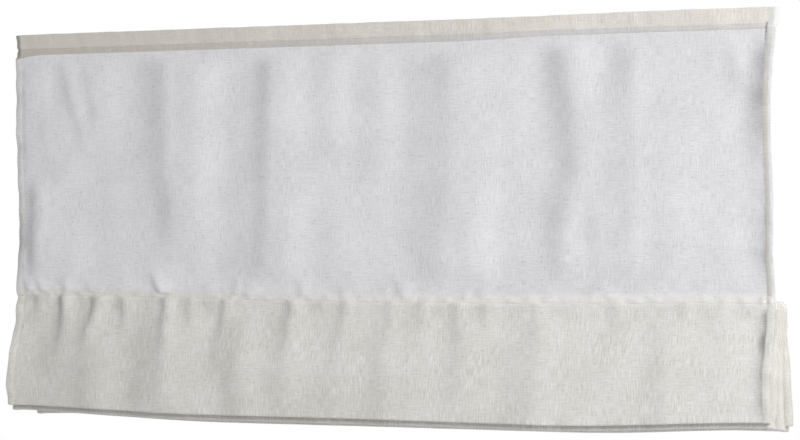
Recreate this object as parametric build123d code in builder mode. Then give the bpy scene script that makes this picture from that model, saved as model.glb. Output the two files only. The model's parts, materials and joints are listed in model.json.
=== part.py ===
"""A roman blind that hangs from a wall-fixed head batten and is partly drawn up into folds.

X runs along the width, the room is towards -Y and Z is up. The origin is on the wall, at the middle of
the brackets' four screw holes.
"""

import os

from build123d import *

# Cloth
cloth_width = 1000
cloth_thickness = 0.6
header_height = 27
side_hem_width = 10
seam_overlap = 0.05

# How the cloth hangs when it is drawn up
rod_count = 5
first_rod_drop = 338
fold_length = 284
rod_pitch = 8
rod_step_down = 2.5
sideways_step = 1.5
front_bulge = 14
fold_thickness = 8
fold_gap = 3.5
sway_radius_share = 0.63
sway_shares = (0.15, 0.6)
corner_share = 0.95

# Rod pockets and bottom hem
pocket_band = 12
pocket_stitch_drop = 6
flap_hang = 147
bottom_hem = 30
hem_wall = 25
sewn_foot = 2
sewn_radius = 1.5
running_gap = 0.3

# Rods and the beads that cap their ends
rod_radius = 2
cap_radius = 2.4
cap_length = 5
cap_sides = 8

# Rings and screw eyes
column_count = 3
column_inset = 100
ring_radius = 5
ring_wire = 1
ring_sides = 12
first_ring_rise = 10.5
first_ring_back = 2.4
eye_radius = 5
eye_wire = 1.2
eye_neck = 1
eye_thread_radius = 1.5
eye_thread_length = 12
thread_sides = 8
eye_depth = 22
lift_eye_inset = 40

# Weight bar
bar_inset = 18
bar_height = 20
bar_thickness = 2
bar_cap_wall = 0.8
bar_cap_length = 14

# Head batten and tapes
batten_inset = 10
batten_depth = 45
batten_height = 21
batten_edge = 1
tape_inset = 2
tape_height = 20
tape_thickness = 1
pilot_gap = 0.1

# Brackets and screws
bracket_inset = 190
bracket_width = 18
bracket_leg = 40
bracket_thickness = 2.5
bracket_corner = 3
wall_hole_drop = 22
wall_hole_pitch = 20
wall_hole_radius = 2.5
screw_setback = 22
screw_pitch = 16
screw_radius = 1.75
screw_length = 16
screw_hole_gap = 0.4
screw_head_radius = 4
screw_head_height = 2
screw_head_sides = 12

# Lengths, heights and depths that follow from the sizes above
batten_length = cloth_width - 2 * batten_inset
tape_length = batten_length - 2 * tape_inset
bar_length = cloth_width - 2 * bar_inset
bracket_span = batten_length - 2 * bracket_inset
column_pitch = (cloth_width - 2 * column_inset) / (column_count - 1)
lift_eye_x = batten_length / 2 - lift_eye_inset
batten_bottom = wall_hole_drop
batten_top = batten_bottom + batten_height
batten_middle = (batten_bottom + batten_top) / 2
tape_middle = batten_top - tape_height / 2
header_back = -batten_depth - 2 * tape_thickness
lining_plane = header_back - cloth_thickness / 2
front_plane = lining_plane - cloth_thickness + seam_overlap
first_rod_z = batten_top - first_rod_drop
rod_offset = cloth_thickness / 2 + running_gap + cap_radius
roll_half = rod_offset - cloth_thickness
pocket_half = rod_offset - seam_overlap
fold_hang = (fold_length + rod_step_down) / 2
sway_radius = sway_radius_share * fold_hang
fold_step = fold_thickness + fold_gap
bar_pocket = cloth_thickness + 2 * running_gap + bar_thickness + 2 * bar_cap_wall
half_rod = cloth_width / 2 - side_hem_width - running_gap
last_rod = rod_count - 1


def rod_y(k):
    """Depth of rod k, counted from the front."""
    return front_plane + rod_offset + k * rod_pitch


def rod_z(k):
    """Height of rod k."""
    return first_rod_z - k * rod_step_down


def shift(k):
    """How far fold k has slipped sideways behind the front one."""
    return k * sideways_step


def fold_front(k):
    """Depth of fold k's front layer near its bottom."""
    return front_plane - front_bulge + k * fold_step


def sway(top_y, bottom_y, k):
    """The two bends where a layer leaves rod k's roll and leans to its hanging depth."""
    start, end = (rod_z(k) - share * fold_hang for share in sway_shares)
    return [(top_y, start), (bottom_y, end)]


def rising_layer(k):
    """Points and bend radii of the layer that rises from the fold before rod k and rolls over below it."""
    back = fold_front(k - 1) + fold_thickness
    bottom = rod_z(k - 1) - fold_hang
    roll_top = rod_z(k) - rod_offset
    points = [(back - fold_thickness / 2, bottom), (back, bottom)]
    points += reversed(sway(rod_y(k) - roll_half, back, k))
    points += [(rod_y(k) - roll_half, roll_top), (rod_y(k) + roll_half, roll_top)]
    fold_radius = corner_share * fold_thickness / 2
    roll_radius = corner_share * roll_half
    return points, [fold_radius, sway_radius, sway_radius, roll_radius, roll_radius]


def falling_layer(k, top_y):
    """Points and bend radii of the layer that falls from rod k to the bottom of fold k."""
    front = fold_front(k)
    bottom = rod_z(k) - fold_hang
    points = sway(top_y, front, k) + [(front, bottom), (front + fold_thickness / 2, bottom)]
    return points, [sway_radius, sway_radius, corner_share * fold_thickness / 2]


def hem_layer():
    """Points and bend radii of the last flap, which turns up behind itself around the weight bar."""
    front = fold_front(last_rod)
    bottom = rod_z(last_rod) - flap_hang
    points = sway(rod_y(last_rod) + roll_half, front, last_rod)
    points += [(front, bottom), (front + bar_pocket, bottom), (front + bar_pocket, bottom + hem_wall)]
    turn = corner_share * bar_pocket / 2
    return points, [sway_radius, sway_radius, turn, turn]


def hem_closing():
    """Points and bend radii of the bottom hem's upper edge, which slants back to the flap and is sewn to it."""
    front = fold_front(last_rod)
    bottom = rod_z(last_rod) - flap_hang
    sewn = front + cloth_thickness - seam_overlap
    points = [(front + bar_pocket, bottom + hem_wall - sewn_foot), (front + bar_pocket, bottom + hem_wall)]
    points += [(sewn, bottom + bottom_hem - sewn_foot), (sewn, bottom + bottom_hem)]
    return points, [sewn_radius, sewn_radius]


def cloth_run(k):
    """The stretch of cloth that belongs to rod k, from one fold's bottom to the next."""
    if k == 0:
        points, radii = [(front_plane, batten_top)], []
        falling, bends = falling_layer(k, front_plane)
    else:
        points, radii = rising_layer(k)
        falling, bends = hem_layer() if k == last_rod else falling_layer(k, rod_y(k) + roll_half)
    return points + falling, radii + bends


def pocket_run(k):
    """The tape that holds rod k to the cloth: behind the flat drop first, over the roll's top after that."""
    y, z = rod_y(k), rod_z(k)
    radius = corner_share * pocket_half
    if k == 0:
        sewn = front_plane + cloth_thickness - seam_overlap
        half_band = pocket_band / 2
        upper = [(sewn, z + half_band + sewn_foot), (sewn, z + half_band), (y + rod_offset, z + rod_offset)]
        lower = [(y + rod_offset, z - rod_offset), (sewn, z - half_band), (sewn, z - half_band - sewn_foot)]
        return upper + lower, [sewn_radius, radius, radius, sewn_radius]
    left, right = y - pocket_half, y + pocket_half
    foot, top = z - pocket_stitch_drop, z + rod_offset
    return [(left, foot), (left, top), (right, top), (right, foot)], [radius, radius]


def ring_place(k):
    """Depth and height of the rings that stand on the top of pocket k."""
    if k == 0:
        return rod_y(k) + first_ring_back, rod_z(k) + first_ring_rise
    return rod_y(k), rod_z(k) + rod_offset + cloth_thickness / 2 + running_gap + ring_radius + ring_wire


def header_lining():
    """The cloth turned down behind the header, which carries the loop tape."""
    return [(lining_plane, batten_top), (lining_plane, batten_top - header_height)], []


def section(runs, thickness, x):
    """Side view, at x, of strips of cloth that follow the given runs."""
    with BuildSketch(Plane.YZ.offset(x)) as strips:
        for points, radii in runs:
            with BuildLine():
                if radii:
                    FilletPolyline(*points, radius=radii)
                else:
                    Polyline(*points)
            trace(line_width=thickness)
    return strips.sketch


def save(part, name):
    """Label a finished piece and write it."""
    part.label = name
    export_step(part, f"parts/{name}.step")


os.makedirs("parts", exist_ok=True)

# Cloth panel: one sheet, folded between the rods, with its header, pockets, side hems and bottom hem
with BuildPart() as cloth_panel:
    for k in range(rod_count):
        sheet = [cloth_run(k)] + ([hem_closing()] if k == last_rod else [])
        sewn_on = [pocket_run(k)] + ([header_lining()] if k == 0 else [])
        width = cloth_width - 2 * side_hem_width
        extrude(section(sheet + sewn_on, cloth_thickness, shift(k)), amount=width / 2, both=True)
        for side in (-1, 1):
            hem_x = shift(k) + side * (cloth_width - side_hem_width) / 2
            extrude(section(sheet, 2 * cloth_thickness, hem_x), amount=side_hem_width / 2, both=True)
save(cloth_panel.part, "cloth_panel")

# Rods, caps and rings, one set for each pocket
column_places = [column_pitch * (n - (column_count - 1) / 2) for n in range(column_count)]
for k in range(rod_count):
    with BuildPart() as rod:
        with BuildSketch(Plane.YZ.offset(shift(k))):
            with Locations((rod_y(k), rod_z(k))):
                Circle(rod_radius)
        extrude(amount=half_rod - cap_length, both=True)
    save(rod.part, f"rod_{k + 1}")

    with BuildPart() as rod_caps:
        for side in (-1, 1):
            with BuildSketch(Plane.YZ.offset(shift(k) + side * (half_rod - cap_length / 2))):
                with Locations((rod_y(k), rod_z(k))):
                    RegularPolygon(cap_radius, cap_sides)
            extrude(amount=cap_length / 2, both=True)
    save(rod_caps.part, f"rod_caps_{k + 1}")

    ring_y, ring_z = ring_place(k)
    with BuildPart() as rings:
        with BuildSketch(Plane.XZ.offset(-ring_y)):
            with Locations(*[(x + shift(k), ring_z) for x in column_places]):
                RegularPolygon(ring_radius + ring_wire, ring_sides)
                RegularPolygon(ring_radius - ring_wire, ring_sides, mode=Mode.SUBTRACT)
        extrude(amount=ring_wire, both=True)
    save(rings.part, f"rings_{k + 1}")

# Weight bar in the bottom hem, with a cap on each end
bar_y = fold_front(last_rod) + bar_pocket / 2
bar_bottom = rod_z(last_rod) - flap_hang + bar_pocket / 2 + bar_cap_wall
bar_middle = bar_bottom + bar_height / 2
with BuildPart() as weight_bar:
    with BuildSketch(Plane.YZ.offset(shift(last_rod))):
        with Locations((bar_y, bar_middle)):
            Rectangle(bar_thickness, bar_height)
    extrude(amount=bar_length / 2, both=True)
save(weight_bar.part, "weight_bar")

with BuildPart() as weight_bar_caps:
    for side in (-1, 1):
        end = Plane.YZ.offset(shift(last_rod) + side * (bar_length / 2 + bar_cap_wall))
        with BuildSketch(end):
            with Locations((bar_y, bar_middle)):
                Rectangle(bar_thickness + 2 * bar_cap_wall, bar_height + 2 * bar_cap_wall)
        extrude(amount=-side * bar_cap_length)
        with BuildSketch(end.offset(-side * bar_cap_wall)):
            with Locations((bar_y, bar_middle)):
                Rectangle(bar_thickness, bar_height)
        extrude(amount=-side * bar_cap_length, mode=Mode.SUBTRACT)
save(weight_bar_caps.part, "weight_bar_caps")

# Head batten, drilled from below for the bracket screws and the screw eyes
bracket_places = [side * bracket_span / 2 for side in (-1, 1)]
eye_places = dict(zip(("left", "centre", "right"), column_places)) | {"lifting_side": lift_eye_x}
with BuildPart() as head_batten:
    with BuildSketch(Plane.YZ):
        with Locations((-batten_depth / 2, batten_middle)):
            Rectangle(batten_depth, batten_height)
    extrude(amount=batten_length / 2, both=True)
    chamfer(head_batten.edges().filter_by(Axis.X), length=batten_edge)
    with BuildSketch(Plane.XY.offset(batten_bottom)):
        with Locations((0, -screw_setback)):
            with GridLocations(bracket_span, screw_pitch, len(bracket_places), 2):
                RegularPolygon(screw_radius + pilot_gap, thread_sides)
    extrude(amount=screw_length - bracket_thickness + pilot_gap, mode=Mode.SUBTRACT)
    with BuildSketch(Plane.XY.offset(batten_bottom)):
        with Locations(*[(x, -eye_depth) for x in eye_places.values()]):
            RegularPolygon(eye_thread_radius + pilot_gap, thread_sides)
    extrude(amount=eye_thread_length + pilot_gap, mode=Mode.SUBTRACT)
save(head_batten.part, "head_batten")

# Hook tape on the batten's front, and the loop tape that is sewn to the header's back
for name, back in (("hook_tape", -batten_depth), ("loop_tape", -batten_depth - tape_thickness)):
    with BuildPart() as tape:
        with BuildSketch(Plane.XZ.offset(-back)):
            with Locations((0, tape_middle)):
                Rectangle(tape_length, tape_height)
        extrude(amount=tape_thickness)
    save(tape.part, name)

# Angle brackets: one leg on the wall, the other under the batten
for name, x in zip(("angle_bracket_left", "angle_bracket_right"), bracket_places):
    with BuildPart() as bracket:
        with BuildSketch(Plane.YZ.offset(x)):
            with BuildLine():
                Polyline(
                    (0, batten_bottom),
                    (-bracket_leg, batten_bottom),
                    (-bracket_leg, batten_bottom - bracket_thickness),
                    (-bracket_thickness, batten_bottom - bracket_thickness),
                    (-bracket_thickness, batten_bottom - bracket_leg),
                    (0, batten_bottom - bracket_leg),
                    close=True,
                )
            make_face()
        extrude(amount=bracket_width / 2, both=True)
        leg_ends = bracket.edges().filter_by(Axis.Z).sort_by(Axis.Y)[:2]
        foot_ends = bracket.edges().filter_by(Axis.Y).sort_by(Axis.Z)[:2]
        chamfer(leg_ends + foot_ends, length=bracket_corner)
        with BuildSketch(Plane.XZ):
            with Locations((x, 0)):
                with GridLocations(0, wall_hole_pitch, 1, 2):
                    Circle(wall_hole_radius)
        extrude(amount=bracket_thickness, mode=Mode.SUBTRACT)
        with BuildSketch(Plane.XY.offset(batten_bottom)):
            with Locations((x, -screw_setback)):
                with GridLocations(0, screw_pitch, 1, 2):
                    RegularPolygon(screw_radius + screw_hole_gap, thread_sides)
        extrude(amount=-bracket_thickness, mode=Mode.SUBTRACT)
    save(bracket.part, name)

# Screws that hold the brackets to the batten
head_plane = Plane.XY.offset(batten_bottom - bracket_thickness)
with BuildPart() as bracket_screws:
    for radius, sides, length in (
        (screw_head_radius, screw_head_sides, -screw_head_height),
        (screw_radius, thread_sides, screw_length),
    ):
        with BuildSketch(head_plane):
            with Locations((0, -screw_setback)):
                with GridLocations(bracket_span, screw_pitch, len(bracket_places), 2):
                    RegularPolygon(radius, sides)
        extrude(amount=length)
save(bracket_screws.part, "bracket_screws")

# Screw eyes under the batten
eye_z = batten_bottom - eye_neck - eye_radius
for place, x in eye_places.items():
    with BuildPart() as screw_eye:
        with BuildSketch(Plane.YZ.offset(x)):
            with Locations((-eye_depth, eye_z)):
                RegularPolygon(eye_radius + eye_wire, ring_sides)
                RegularPolygon(eye_radius - eye_wire, ring_sides, mode=Mode.SUBTRACT)
        extrude(amount=eye_wire, both=True)
        with BuildSketch(Plane.XY.offset(eye_z + eye_radius)):
            with Locations((x, -eye_depth)):
                RegularPolygon(eye_wire, thread_sides)
        extrude(amount=eye_neck)
        with BuildSketch(Plane.XY.offset(batten_bottom)):
            with Locations((x, -eye_depth)):
                RegularPolygon(eye_thread_radius, thread_sides)
        extrude(amount=eye_thread_length)
    save(screw_eye.part, f"screw_eye_{place}")
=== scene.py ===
"""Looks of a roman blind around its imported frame: the sewn cloth in its folds and the fittings behind it.

Sizes are in metres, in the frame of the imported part: X along the width, the room towards -Y, Z up.
"""

import json
import logging
import math
from dataclasses import dataclass, field
from enum import Enum
from typing import Any, ClassVar, Iterable, Sequence

import bpy
import numpy as np
from mathutils import Matrix, Vector


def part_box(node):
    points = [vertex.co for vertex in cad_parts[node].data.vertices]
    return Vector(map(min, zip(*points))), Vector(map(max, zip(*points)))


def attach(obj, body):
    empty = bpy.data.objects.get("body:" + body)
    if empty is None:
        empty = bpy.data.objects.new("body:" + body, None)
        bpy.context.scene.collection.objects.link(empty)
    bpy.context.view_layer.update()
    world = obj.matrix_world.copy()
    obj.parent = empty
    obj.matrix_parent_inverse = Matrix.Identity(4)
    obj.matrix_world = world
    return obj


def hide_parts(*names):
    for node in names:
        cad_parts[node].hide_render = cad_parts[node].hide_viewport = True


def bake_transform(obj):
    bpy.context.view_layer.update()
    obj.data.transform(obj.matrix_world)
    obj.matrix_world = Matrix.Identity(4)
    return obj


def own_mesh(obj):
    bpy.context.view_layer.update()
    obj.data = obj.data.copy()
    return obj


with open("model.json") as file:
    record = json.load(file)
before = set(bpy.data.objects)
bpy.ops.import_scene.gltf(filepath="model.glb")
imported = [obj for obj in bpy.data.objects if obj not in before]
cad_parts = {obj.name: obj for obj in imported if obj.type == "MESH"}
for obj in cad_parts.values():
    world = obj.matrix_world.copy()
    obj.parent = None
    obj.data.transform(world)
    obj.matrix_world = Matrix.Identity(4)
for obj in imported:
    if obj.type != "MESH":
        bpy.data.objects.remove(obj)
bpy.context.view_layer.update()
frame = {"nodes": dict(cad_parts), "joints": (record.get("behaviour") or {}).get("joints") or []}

WHITE = (1.0, 1.0, 1.0, 1.0)
QUARTER = math.pi / 2.0
TINY = 1e-12
Colour = tuple[int, int, int]
Spot = tuple[float, float, float]
Grid = np.ndarray
Material = bpy.types.Material
Piece = bpy.types.Object
log = logging.getLogger("roman_blind")


def unit(share: Grid) -> Grid:
    """Keep a share between 0 and 1."""
    return np.clip(share, 0.0, 1.0)


def smooth(share: Grid) -> Grid:
    """Ease from 0 to 1 while the share goes from 0 to 1."""
    share = unit(share)
    return share * share * (3.0 - 2.0 * share)


def bell(away: Grid) -> Grid:
    """Fall from 1 in the middle to nearly 0 two widths away."""
    return np.exp(-(away**2))


def lengths_along(path: Grid) -> Grid:
    """Measure each point's distance from a line's start, along the line."""
    return np.concatenate([[0.0], np.cumsum(np.linalg.norm(np.diff(path, axis=0), axis=1))])


def linear(red: int, green: int, blue: int) -> tuple[float, float, float, float]:
    """Turn a screen colour into a shader colour.

    Args:
        red: Red, 0 to 255.
        green: Green, 0 to 255.
        blue: Blue, 0 to 255.

    Returns:
        The linear colour with full alpha.
    """
    shares = [channel / 255.0 for channel in (red, green, blue)]
    return (*[s / 12.92 if s <= 0.04045 else ((s + 0.055) / 1.055) ** 2.4 for s in shares], 1.0)


class Slot(str, Enum):
    """Material slot names from the record."""

    CLOTH = "cloth"
    ZINC = "zinc_steel"
    CAP = "cap_plastic"
    RING = "ring_plastic"


class Held(str, Enum):
    """How a stretch of the cloth is held."""

    HUNG = "hung"
    FOLDED = "folded"
    STRETCHED = "stretched"


def stand_for(piece: Piece, node: str, body: str) -> None:
    """Hide the frame's node that a finished piece stands for, hang the piece on its body, and log its face count.

    Args:
        piece: The piece.
        node: The frame's node that it replaces.
        body: The body that it rides on; empty for one that is left unattached.
    """
    if body:
        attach(piece, body)
    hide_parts(node)
    log.info("%s: %d faces", piece.name, len(piece.data.polygons))


class Value:
    """A shader socket that takes part in sums like a number."""

    def __init__(self, nodes: "Nodes", socket: bpy.types.NodeSocket | None) -> None:
        """Wrap a socket of the given nodes."""
        self.nodes = nodes
        self.socket = socket

    def _math(self, operation: str, first: Any, second: Any) -> "Value":
        """Add a Math node on two values and return its result."""
        return self.nodes.node("ShaderNodeMath", {"operation": operation}, {0: first, 1: second})

    def __add__(self, other: Any) -> "Value":
        """This plus other."""
        return self._math("ADD", self, other)

    __radd__ = __add__

    def __sub__(self, other: Any) -> "Value":
        """This minus other."""
        return self._math("SUBTRACT", self, other)

    def __rsub__(self, other: Any) -> "Value":
        """Other minus this."""
        return self._math("SUBTRACT", other, self)

    def __mul__(self, other: Any) -> "Value":
        """This times other."""
        return self._math("MULTIPLY", self, other)

    __rmul__ = __mul__

    def __truediv__(self, other: Any) -> "Value":
        """This divided by other."""
        return self._math("DIVIDE", self, other)

    def __rtruediv__(self, other: Any) -> "Value":
        """Other divided by this."""
        return self._math("DIVIDE", other, self)

    def sine(self) -> "Value":
        """Sine of this."""
        return self._math("SINE", self, 0.0)

    def above(self, low: float, high: float) -> "Value":
        """Ease from 0 to 1 as this goes from low to high."""
        sockets = {"Value": self, "From Min": low, "From Max": high}
        return self.nodes.node("ShaderNodeMapRange", {"interpolation_type": "SMOOTHSTEP"}, sockets)


class Nodes:
    """The node tree of a material or a world."""

    def __init__(self, tree: bpy.types.NodeTree) -> None:
        """Take a tree to add nodes to."""
        self.tree = tree

    def feed(self, socket: bpy.types.NodeSocket, value: Any) -> None:
        """Link a value to a socket, or set the socket to a plain one."""
        if isinstance(value, Value):
            self.tree.links.new(value.socket, socket)
        else:
            socket.default_value = value

    def node(
        self,
        kind: str,
        settings: dict[str, Any] | None = None,
        sockets: dict[Any, Any] | None = None,
        output: Any = 0,
    ) -> Value:
        """Add any node.

        Args:
            kind: The node's type.
            settings: Properties to set first.
            sockets: Values or links of its inputs.
            output: The output to return.

        Returns:
            The chosen output, or an empty value for a node without one.
        """
        made = self.tree.nodes.new(kind)
        for name, value in (settings or {}).items():
            setattr(made, name, value)
        for name, value in (sockets or {}).items():
            self.feed(made.inputs[name], value)
        return Value(self, made.outputs[output] if len(made.outputs) else None)

    def seen(self) -> Value:
        """Tell rays that show a surface, straight or by a mirror or glass (1), from the others (0)."""
        rays = ("Is Camera Ray", "Is Glossy Ray", "Is Transmission Ray")
        return sum(self.node("ShaderNodeLightPath", None, None, ray) for ray in rays).above(0.0, 1.0)


class Shader(Nodes):
    """A material's node tree with its principled shader."""

    def __init__(self, name: str, sockets: dict[str, Any]) -> None:
        """Make the material.

        Args:
            name: The material's name.
            sockets: Principled sockets that are the same all over.
        """
        self.material = bpy.data.materials.new(name)
        self.material.use_nodes = True
        super().__init__(self.material.node_tree)
        self.principled = self.tree.nodes["Principled BSDF"]
        self.paint(sockets)

    def paint(self, sockets: dict[str, Any]) -> None:
        """Set or link sockets of the principled shader."""
        for socket, value in sockets.items():
            self.feed(self.principled.inputs[socket], value)

    def stretch(self, place: Value, often: Sequence[float]) -> Value:
        """Scale places along each axis."""
        return self.node("ShaderNodeVectorMath", {"operation": "MULTIPLY"}, {0: place, 1: tuple(often)})

    def noise(self, place: Value, often: Sequence[float], detail: float = 2.0) -> Value:
        """Lay noise over places that are stretched first.

        Args:
            place: The vector to read.
            often: How often the noise turns over in a metre: along each axis, or one number for all three.
            detail: The noise's detail.

        Returns:
            The noise, about 0 to 1.
        """
        scaled = self.stretch(place, often if len(often) == 3 else tuple(often) * 3)
        return self.node("ShaderNodeTexNoise", None, {"Vector": scaled, "Scale": 1.0, "Detail": detail})

    def mix(self, factor: Value, first: Any, second: Any) -> Value:
        """Mix two colours, from the first at factor 0 to the second at 1."""
        return self.node("ShaderNodeMix", {"data_type": "RGBA"}, {"Factor": factor, 6: first, 7: second}, 2)

    def bump(self, height: Value, strength: float, distance: float) -> Value:
        """Turn a height into a normal."""
        return self.node("ShaderNodeBump", None, {"Height": height, "Strength": strength, "Distance": distance})


@dataclass(frozen=True)
class Finish:
    """A finish between a light and a dark colour, read at places on the piece."""

    name: str
    light: Colour
    dark: Colour
    SOCKETS: ClassVar[dict[str, float]] = {}

    def places(self, shader: Shader) -> Value:
        """Where the finish is read."""
        return shader.node("ShaderNodeTexCoord", None, None, "Object")

    def between(self, shader: Shader, share: Value) -> Value:
        """The colour at a share of the way from dark to light."""
        return shader.mix(share, linear(*self.dark), linear(*self.light))

    def paint(self, shader: Shader, place: Value) -> dict[str, Value]:
        """Work out the principled sockets that change from place to place.

        Args:
            shader: The material.
            place: Places on the piece.

        Returns:
            Each socket with its value.
        """
        raise NotImplementedError

    def make(self) -> Material:
        """Make the material."""
        shader = Shader(self.name, self.SOCKETS)
        shader.paint(self.paint(shader, self.places(shader)))
        return shader.material


@dataclass(frozen=True)
class LinenFinish(Finish):
    """Off-white linen-look cloth: patchy threads both ways, small dark slubs, and other tints where it is doubled;
    these tints, the hem tint and a sideways shift are partly painted light and shade.
    """

    doubled: Colour
    doubled_right: Colour
    hem: Colour
    across: float
    slubs: float
    # Painted light: how far the colour is lightened or darkened towards the left edge, for how the light falls across
    # the width.
    painted_side_light: float
    upright: float = 1.2
    fuzz: float = 0.7
    slub: Colour = (138, 133, 120)
    thread: float = 0.0011
    roughness: float = 0.88
    SOCKETS: ClassVar[dict[str, float]] = {"Sheen Weight": 0.1, "Sheen Roughness": 0.6, "Specular IOR Level": 0.2}
    PATCHES: ClassVar[Spot] = (30.0, 24.0, 1.0)
    WARP: ClassVar[Spot] = (600.0, 70.0, 1.0)
    WEFT: ClassVar[Spot] = (70.0, 600.0, 1.0)
    GRAIN: ClassVar[Spot] = (480.0, 480.0, 1.0)
    CLOUDS: ClassVar[Spot] = (24.0, 18.0, 1.0)
    UPRIGHT_SLUBS: ClassVar[Spot] = (85.0, 210.0, 1.0)
    LYING_SLUBS: ClassVar[Spot] = (230.0, 95.0, 1.0)

    def places(self, shader: Shader) -> Value:
        """The cloth's own map, which is in metres."""
        return shader.node("ShaderNodeUVMap", {"uv_map": ClothMesh.MAP})

    def specks(self, shader: Shader, place: Value, often: Spot, size: float) -> Value:
        """Scatter short dark slubs, one in each cell and only in some.

        Args:
            shader: The material.
            place: Places on the cloth.
            often: Cells in a metre, along each axis.
            size: Half size of a slub, as a share of its cell.

        Returns:
            0 between the slubs, up to 1 on them.
        """
        flat = {"voronoi_dimensions": "2D"}
        sockets = {"Vector": shader.stretch(place, often), "Scale": 1.0}
        near = 1.0 - shader.node("ShaderNodeTexVoronoi", flat, sockets, "Distance").above(0.4 * size, size)
        chance = shader.node("ShaderNodeTexVoronoi", flat, sockets, "Color")
        return near * shader.node("ShaderNodeSeparateColor", None, {0: chance}, 0).above(0.66, 1.0)

    def weave(self, shader: Shader, place: Value) -> Value:
        """Cross single threads over and under each other, as a height from -1 to 1."""
        turn = 2.0 * math.pi / self.thread
        lines = [shader.node("ShaderNodeSeparateXYZ", None, {"Vector": place}, axis) for axis in "XY"]
        return (lines[0] * turn).sine() * (lines[1] * turn).sine()

    def paint(self, shader: Shader, place: Value) -> dict[str, Value]:
        """Weave the colour from threads both ways, and tint it where the cloth is doubled or hemmed, partly as
        painted light and shade.

        Args:
            shader: The material.
            place: Places on the cloth.

        Returns:
            Each socket with its value.
        """
        u = shader.node("ShaderNodeSeparateXYZ", None, {"Vector": place}, "X")
        doubled, hem = (
            shader.node("ShaderNodeAttribute", {"attribute_name": mark}, None, "Fac")
            for mark in (ClothMesh.DOUBLED, ClothMesh.HEM)
        )
        warp, weft, grain = (shader.noise(place, often, 1.0) for often in (self.WARP, self.WEFT, self.GRAIN))
        patch = shader.noise(place, self.PATCHES, 1.0).above(0.35, 0.65)
        cloud = shader.noise(place, self.CLOUDS, 3.0)
        tone = (warp - 0.5) * (patch * 0.8 + 0.5) * self.upright
        tone = tone + (weft - 0.5) * (1.3 - patch * 0.8) * self.across
        # Painted light: the last term lightens or darkens the colour towards the left edge, standing in for how the
        # light falls across the width.
        tone = tone + (grain - 0.5) * self.fuzz + (cloud - 0.5) * 0.9 + 0.5 + (1.0 - u) * self.painted_side_light
        colour = self.between(shader, tone)
        # Painted light: the doubled tint is partly painted, for the light from behind that shows through a single
        # layer and is kept out where the cloth is doubled; it changes from left to right. The hem tint is partly
        # painted shade on the right hems.
        layered = shader.mix(u.above(0.15, 0.75), linear(*self.doubled), linear(*self.doubled_right))
        for mark, tint, share in ((doubled, layered, 0.5), (hem, linear(*self.hem), 0.35)):
            colour = shader.mix(mark, colour, shader.mix(tone * share, tint, linear(*self.light)))
        marks = self.specks(shader, place, self.UPRIGHT_SLUBS, 0.24)
        marks = marks + self.specks(shader, place, self.LYING_SLUBS, 0.22)
        height = self.weave(shader, place) * 0.2 + warp * 0.9 + weft * 0.9
        return {
            "Base Color": shader.mix(marks * self.slubs, colour, linear(*self.slub)),
            "Roughness": (warp - 0.5) * 0.15 + self.roughness,
            "Normal": shader.bump(height, 0.3, 0.0004),
        }


@dataclass(frozen=True)
class ThreadFinish(Finish):
    """Sewing thread, a little darker than the cloth, with a fine twist in its colour."""

    TWIST: ClassVar[tuple[float]] = (2600.0,)
    SOCKETS: ClassVar[dict[str, float]] = {"Sheen Weight": 0.15, "Specular IOR Level": 0.25}

    def paint(self, shader: Shader, place: Value) -> dict[str, Value]:
        """Twist the colour along the thread."""
        twist = shader.noise(place, self.TWIST)
        return {
            "Base Color": self.between(shader, twist),
            "Roughness": twist * 0.2 + 0.65,
            "Normal": shader.bump(twist, 0.3, 0.0002),
        }


@dataclass(frozen=True)
class PineFinish(Finish):
    """Planed pine with stretched growth rings along the batten, fine pores and a faint sheen."""

    pore: Colour = (120, 84, 48)
    DRIFT: ClassVar[Spot] = (3.0, 40.0, 40.0)
    RINGS: ClassVar[Spot] = (1.4, 160.0, 160.0)
    PORES: ClassVar[Spot] = (18.0, 1500.0, 1500.0)
    SOCKETS: ClassVar[dict[str, float]] = {"Specular IOR Level": 0.3}

    def paint(self, shader: Shader, place: Value) -> dict[str, Value]:
        """Draw the rings and the pores."""
        drift, rings, pores = (shader.noise(place, often) for often in (self.DRIFT, self.RINGS, self.PORES))
        lines = ((rings + drift * 0.8) * 26.0).sine() * 0.5 + 0.5
        colour = self.between(shader, 1.0 - lines.above(0.1, 1.0))
        return {
            "Base Color": shader.mix(pores.above(0.58, 0.75) * 0.35, colour, linear(*self.pore)),
            "Roughness": lines * 0.12 + 0.55,
            "Normal": shader.bump(lines * 0.4 + pores * 0.5, 0.25, 0.0004),
        }


@dataclass(frozen=True)
class ZincFinish(Finish):
    """Zinc-plated steel with faint spangle and rubbed edges."""

    SPANGLE: ClassVar[tuple[float]] = (420.0,)
    RUBBED: ClassVar[Spot] = (90.0, 1600.0, 1600.0)
    SOCKETS: ClassVar[dict[str, float]] = {"Metallic": 1.0}

    def paint(self, shader: Shader, place: Value) -> dict[str, Value]:
        """Scatter the spangle and rub it along the piece."""
        spangle, rub = shader.noise(place, self.SPANGLE, 3.0), shader.noise(place, self.RUBBED)
        return {
            "Base Color": self.between(shader, spangle),
            "Roughness": spangle * 0.25 + rub * 0.15 + 0.22,
            "Normal": shader.bump(rub + spangle * 0.5, 0.12, 0.0002),
        }


@dataclass(frozen=True)
class MouldedFinish(Finish):
    """White plastic or powder coat with a fine grain and slight yellowing."""

    grain: float
    roughness: float
    CLOUDS: ClassVar[tuple[float]] = (60.0,)
    SOCKETS: ClassVar[dict[str, float]] = {"Specular IOR Level": 0.45}

    def paint(self, shader: Shader, place: Value) -> dict[str, Value]:
        """Yellow it in clouds and grain its surface."""
        cloud, grain = shader.noise(place, self.CLOUDS), shader.noise(place, (self.grain,), 3.0)
        return {
            "Base Color": self.between(shader, 1.0 - cloud.above(0.35, 0.75)),
            "Roughness": grain * 0.18 + self.roughness,
            "Normal": shader.bump(grain, 0.15, 0.0002),
        }


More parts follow.
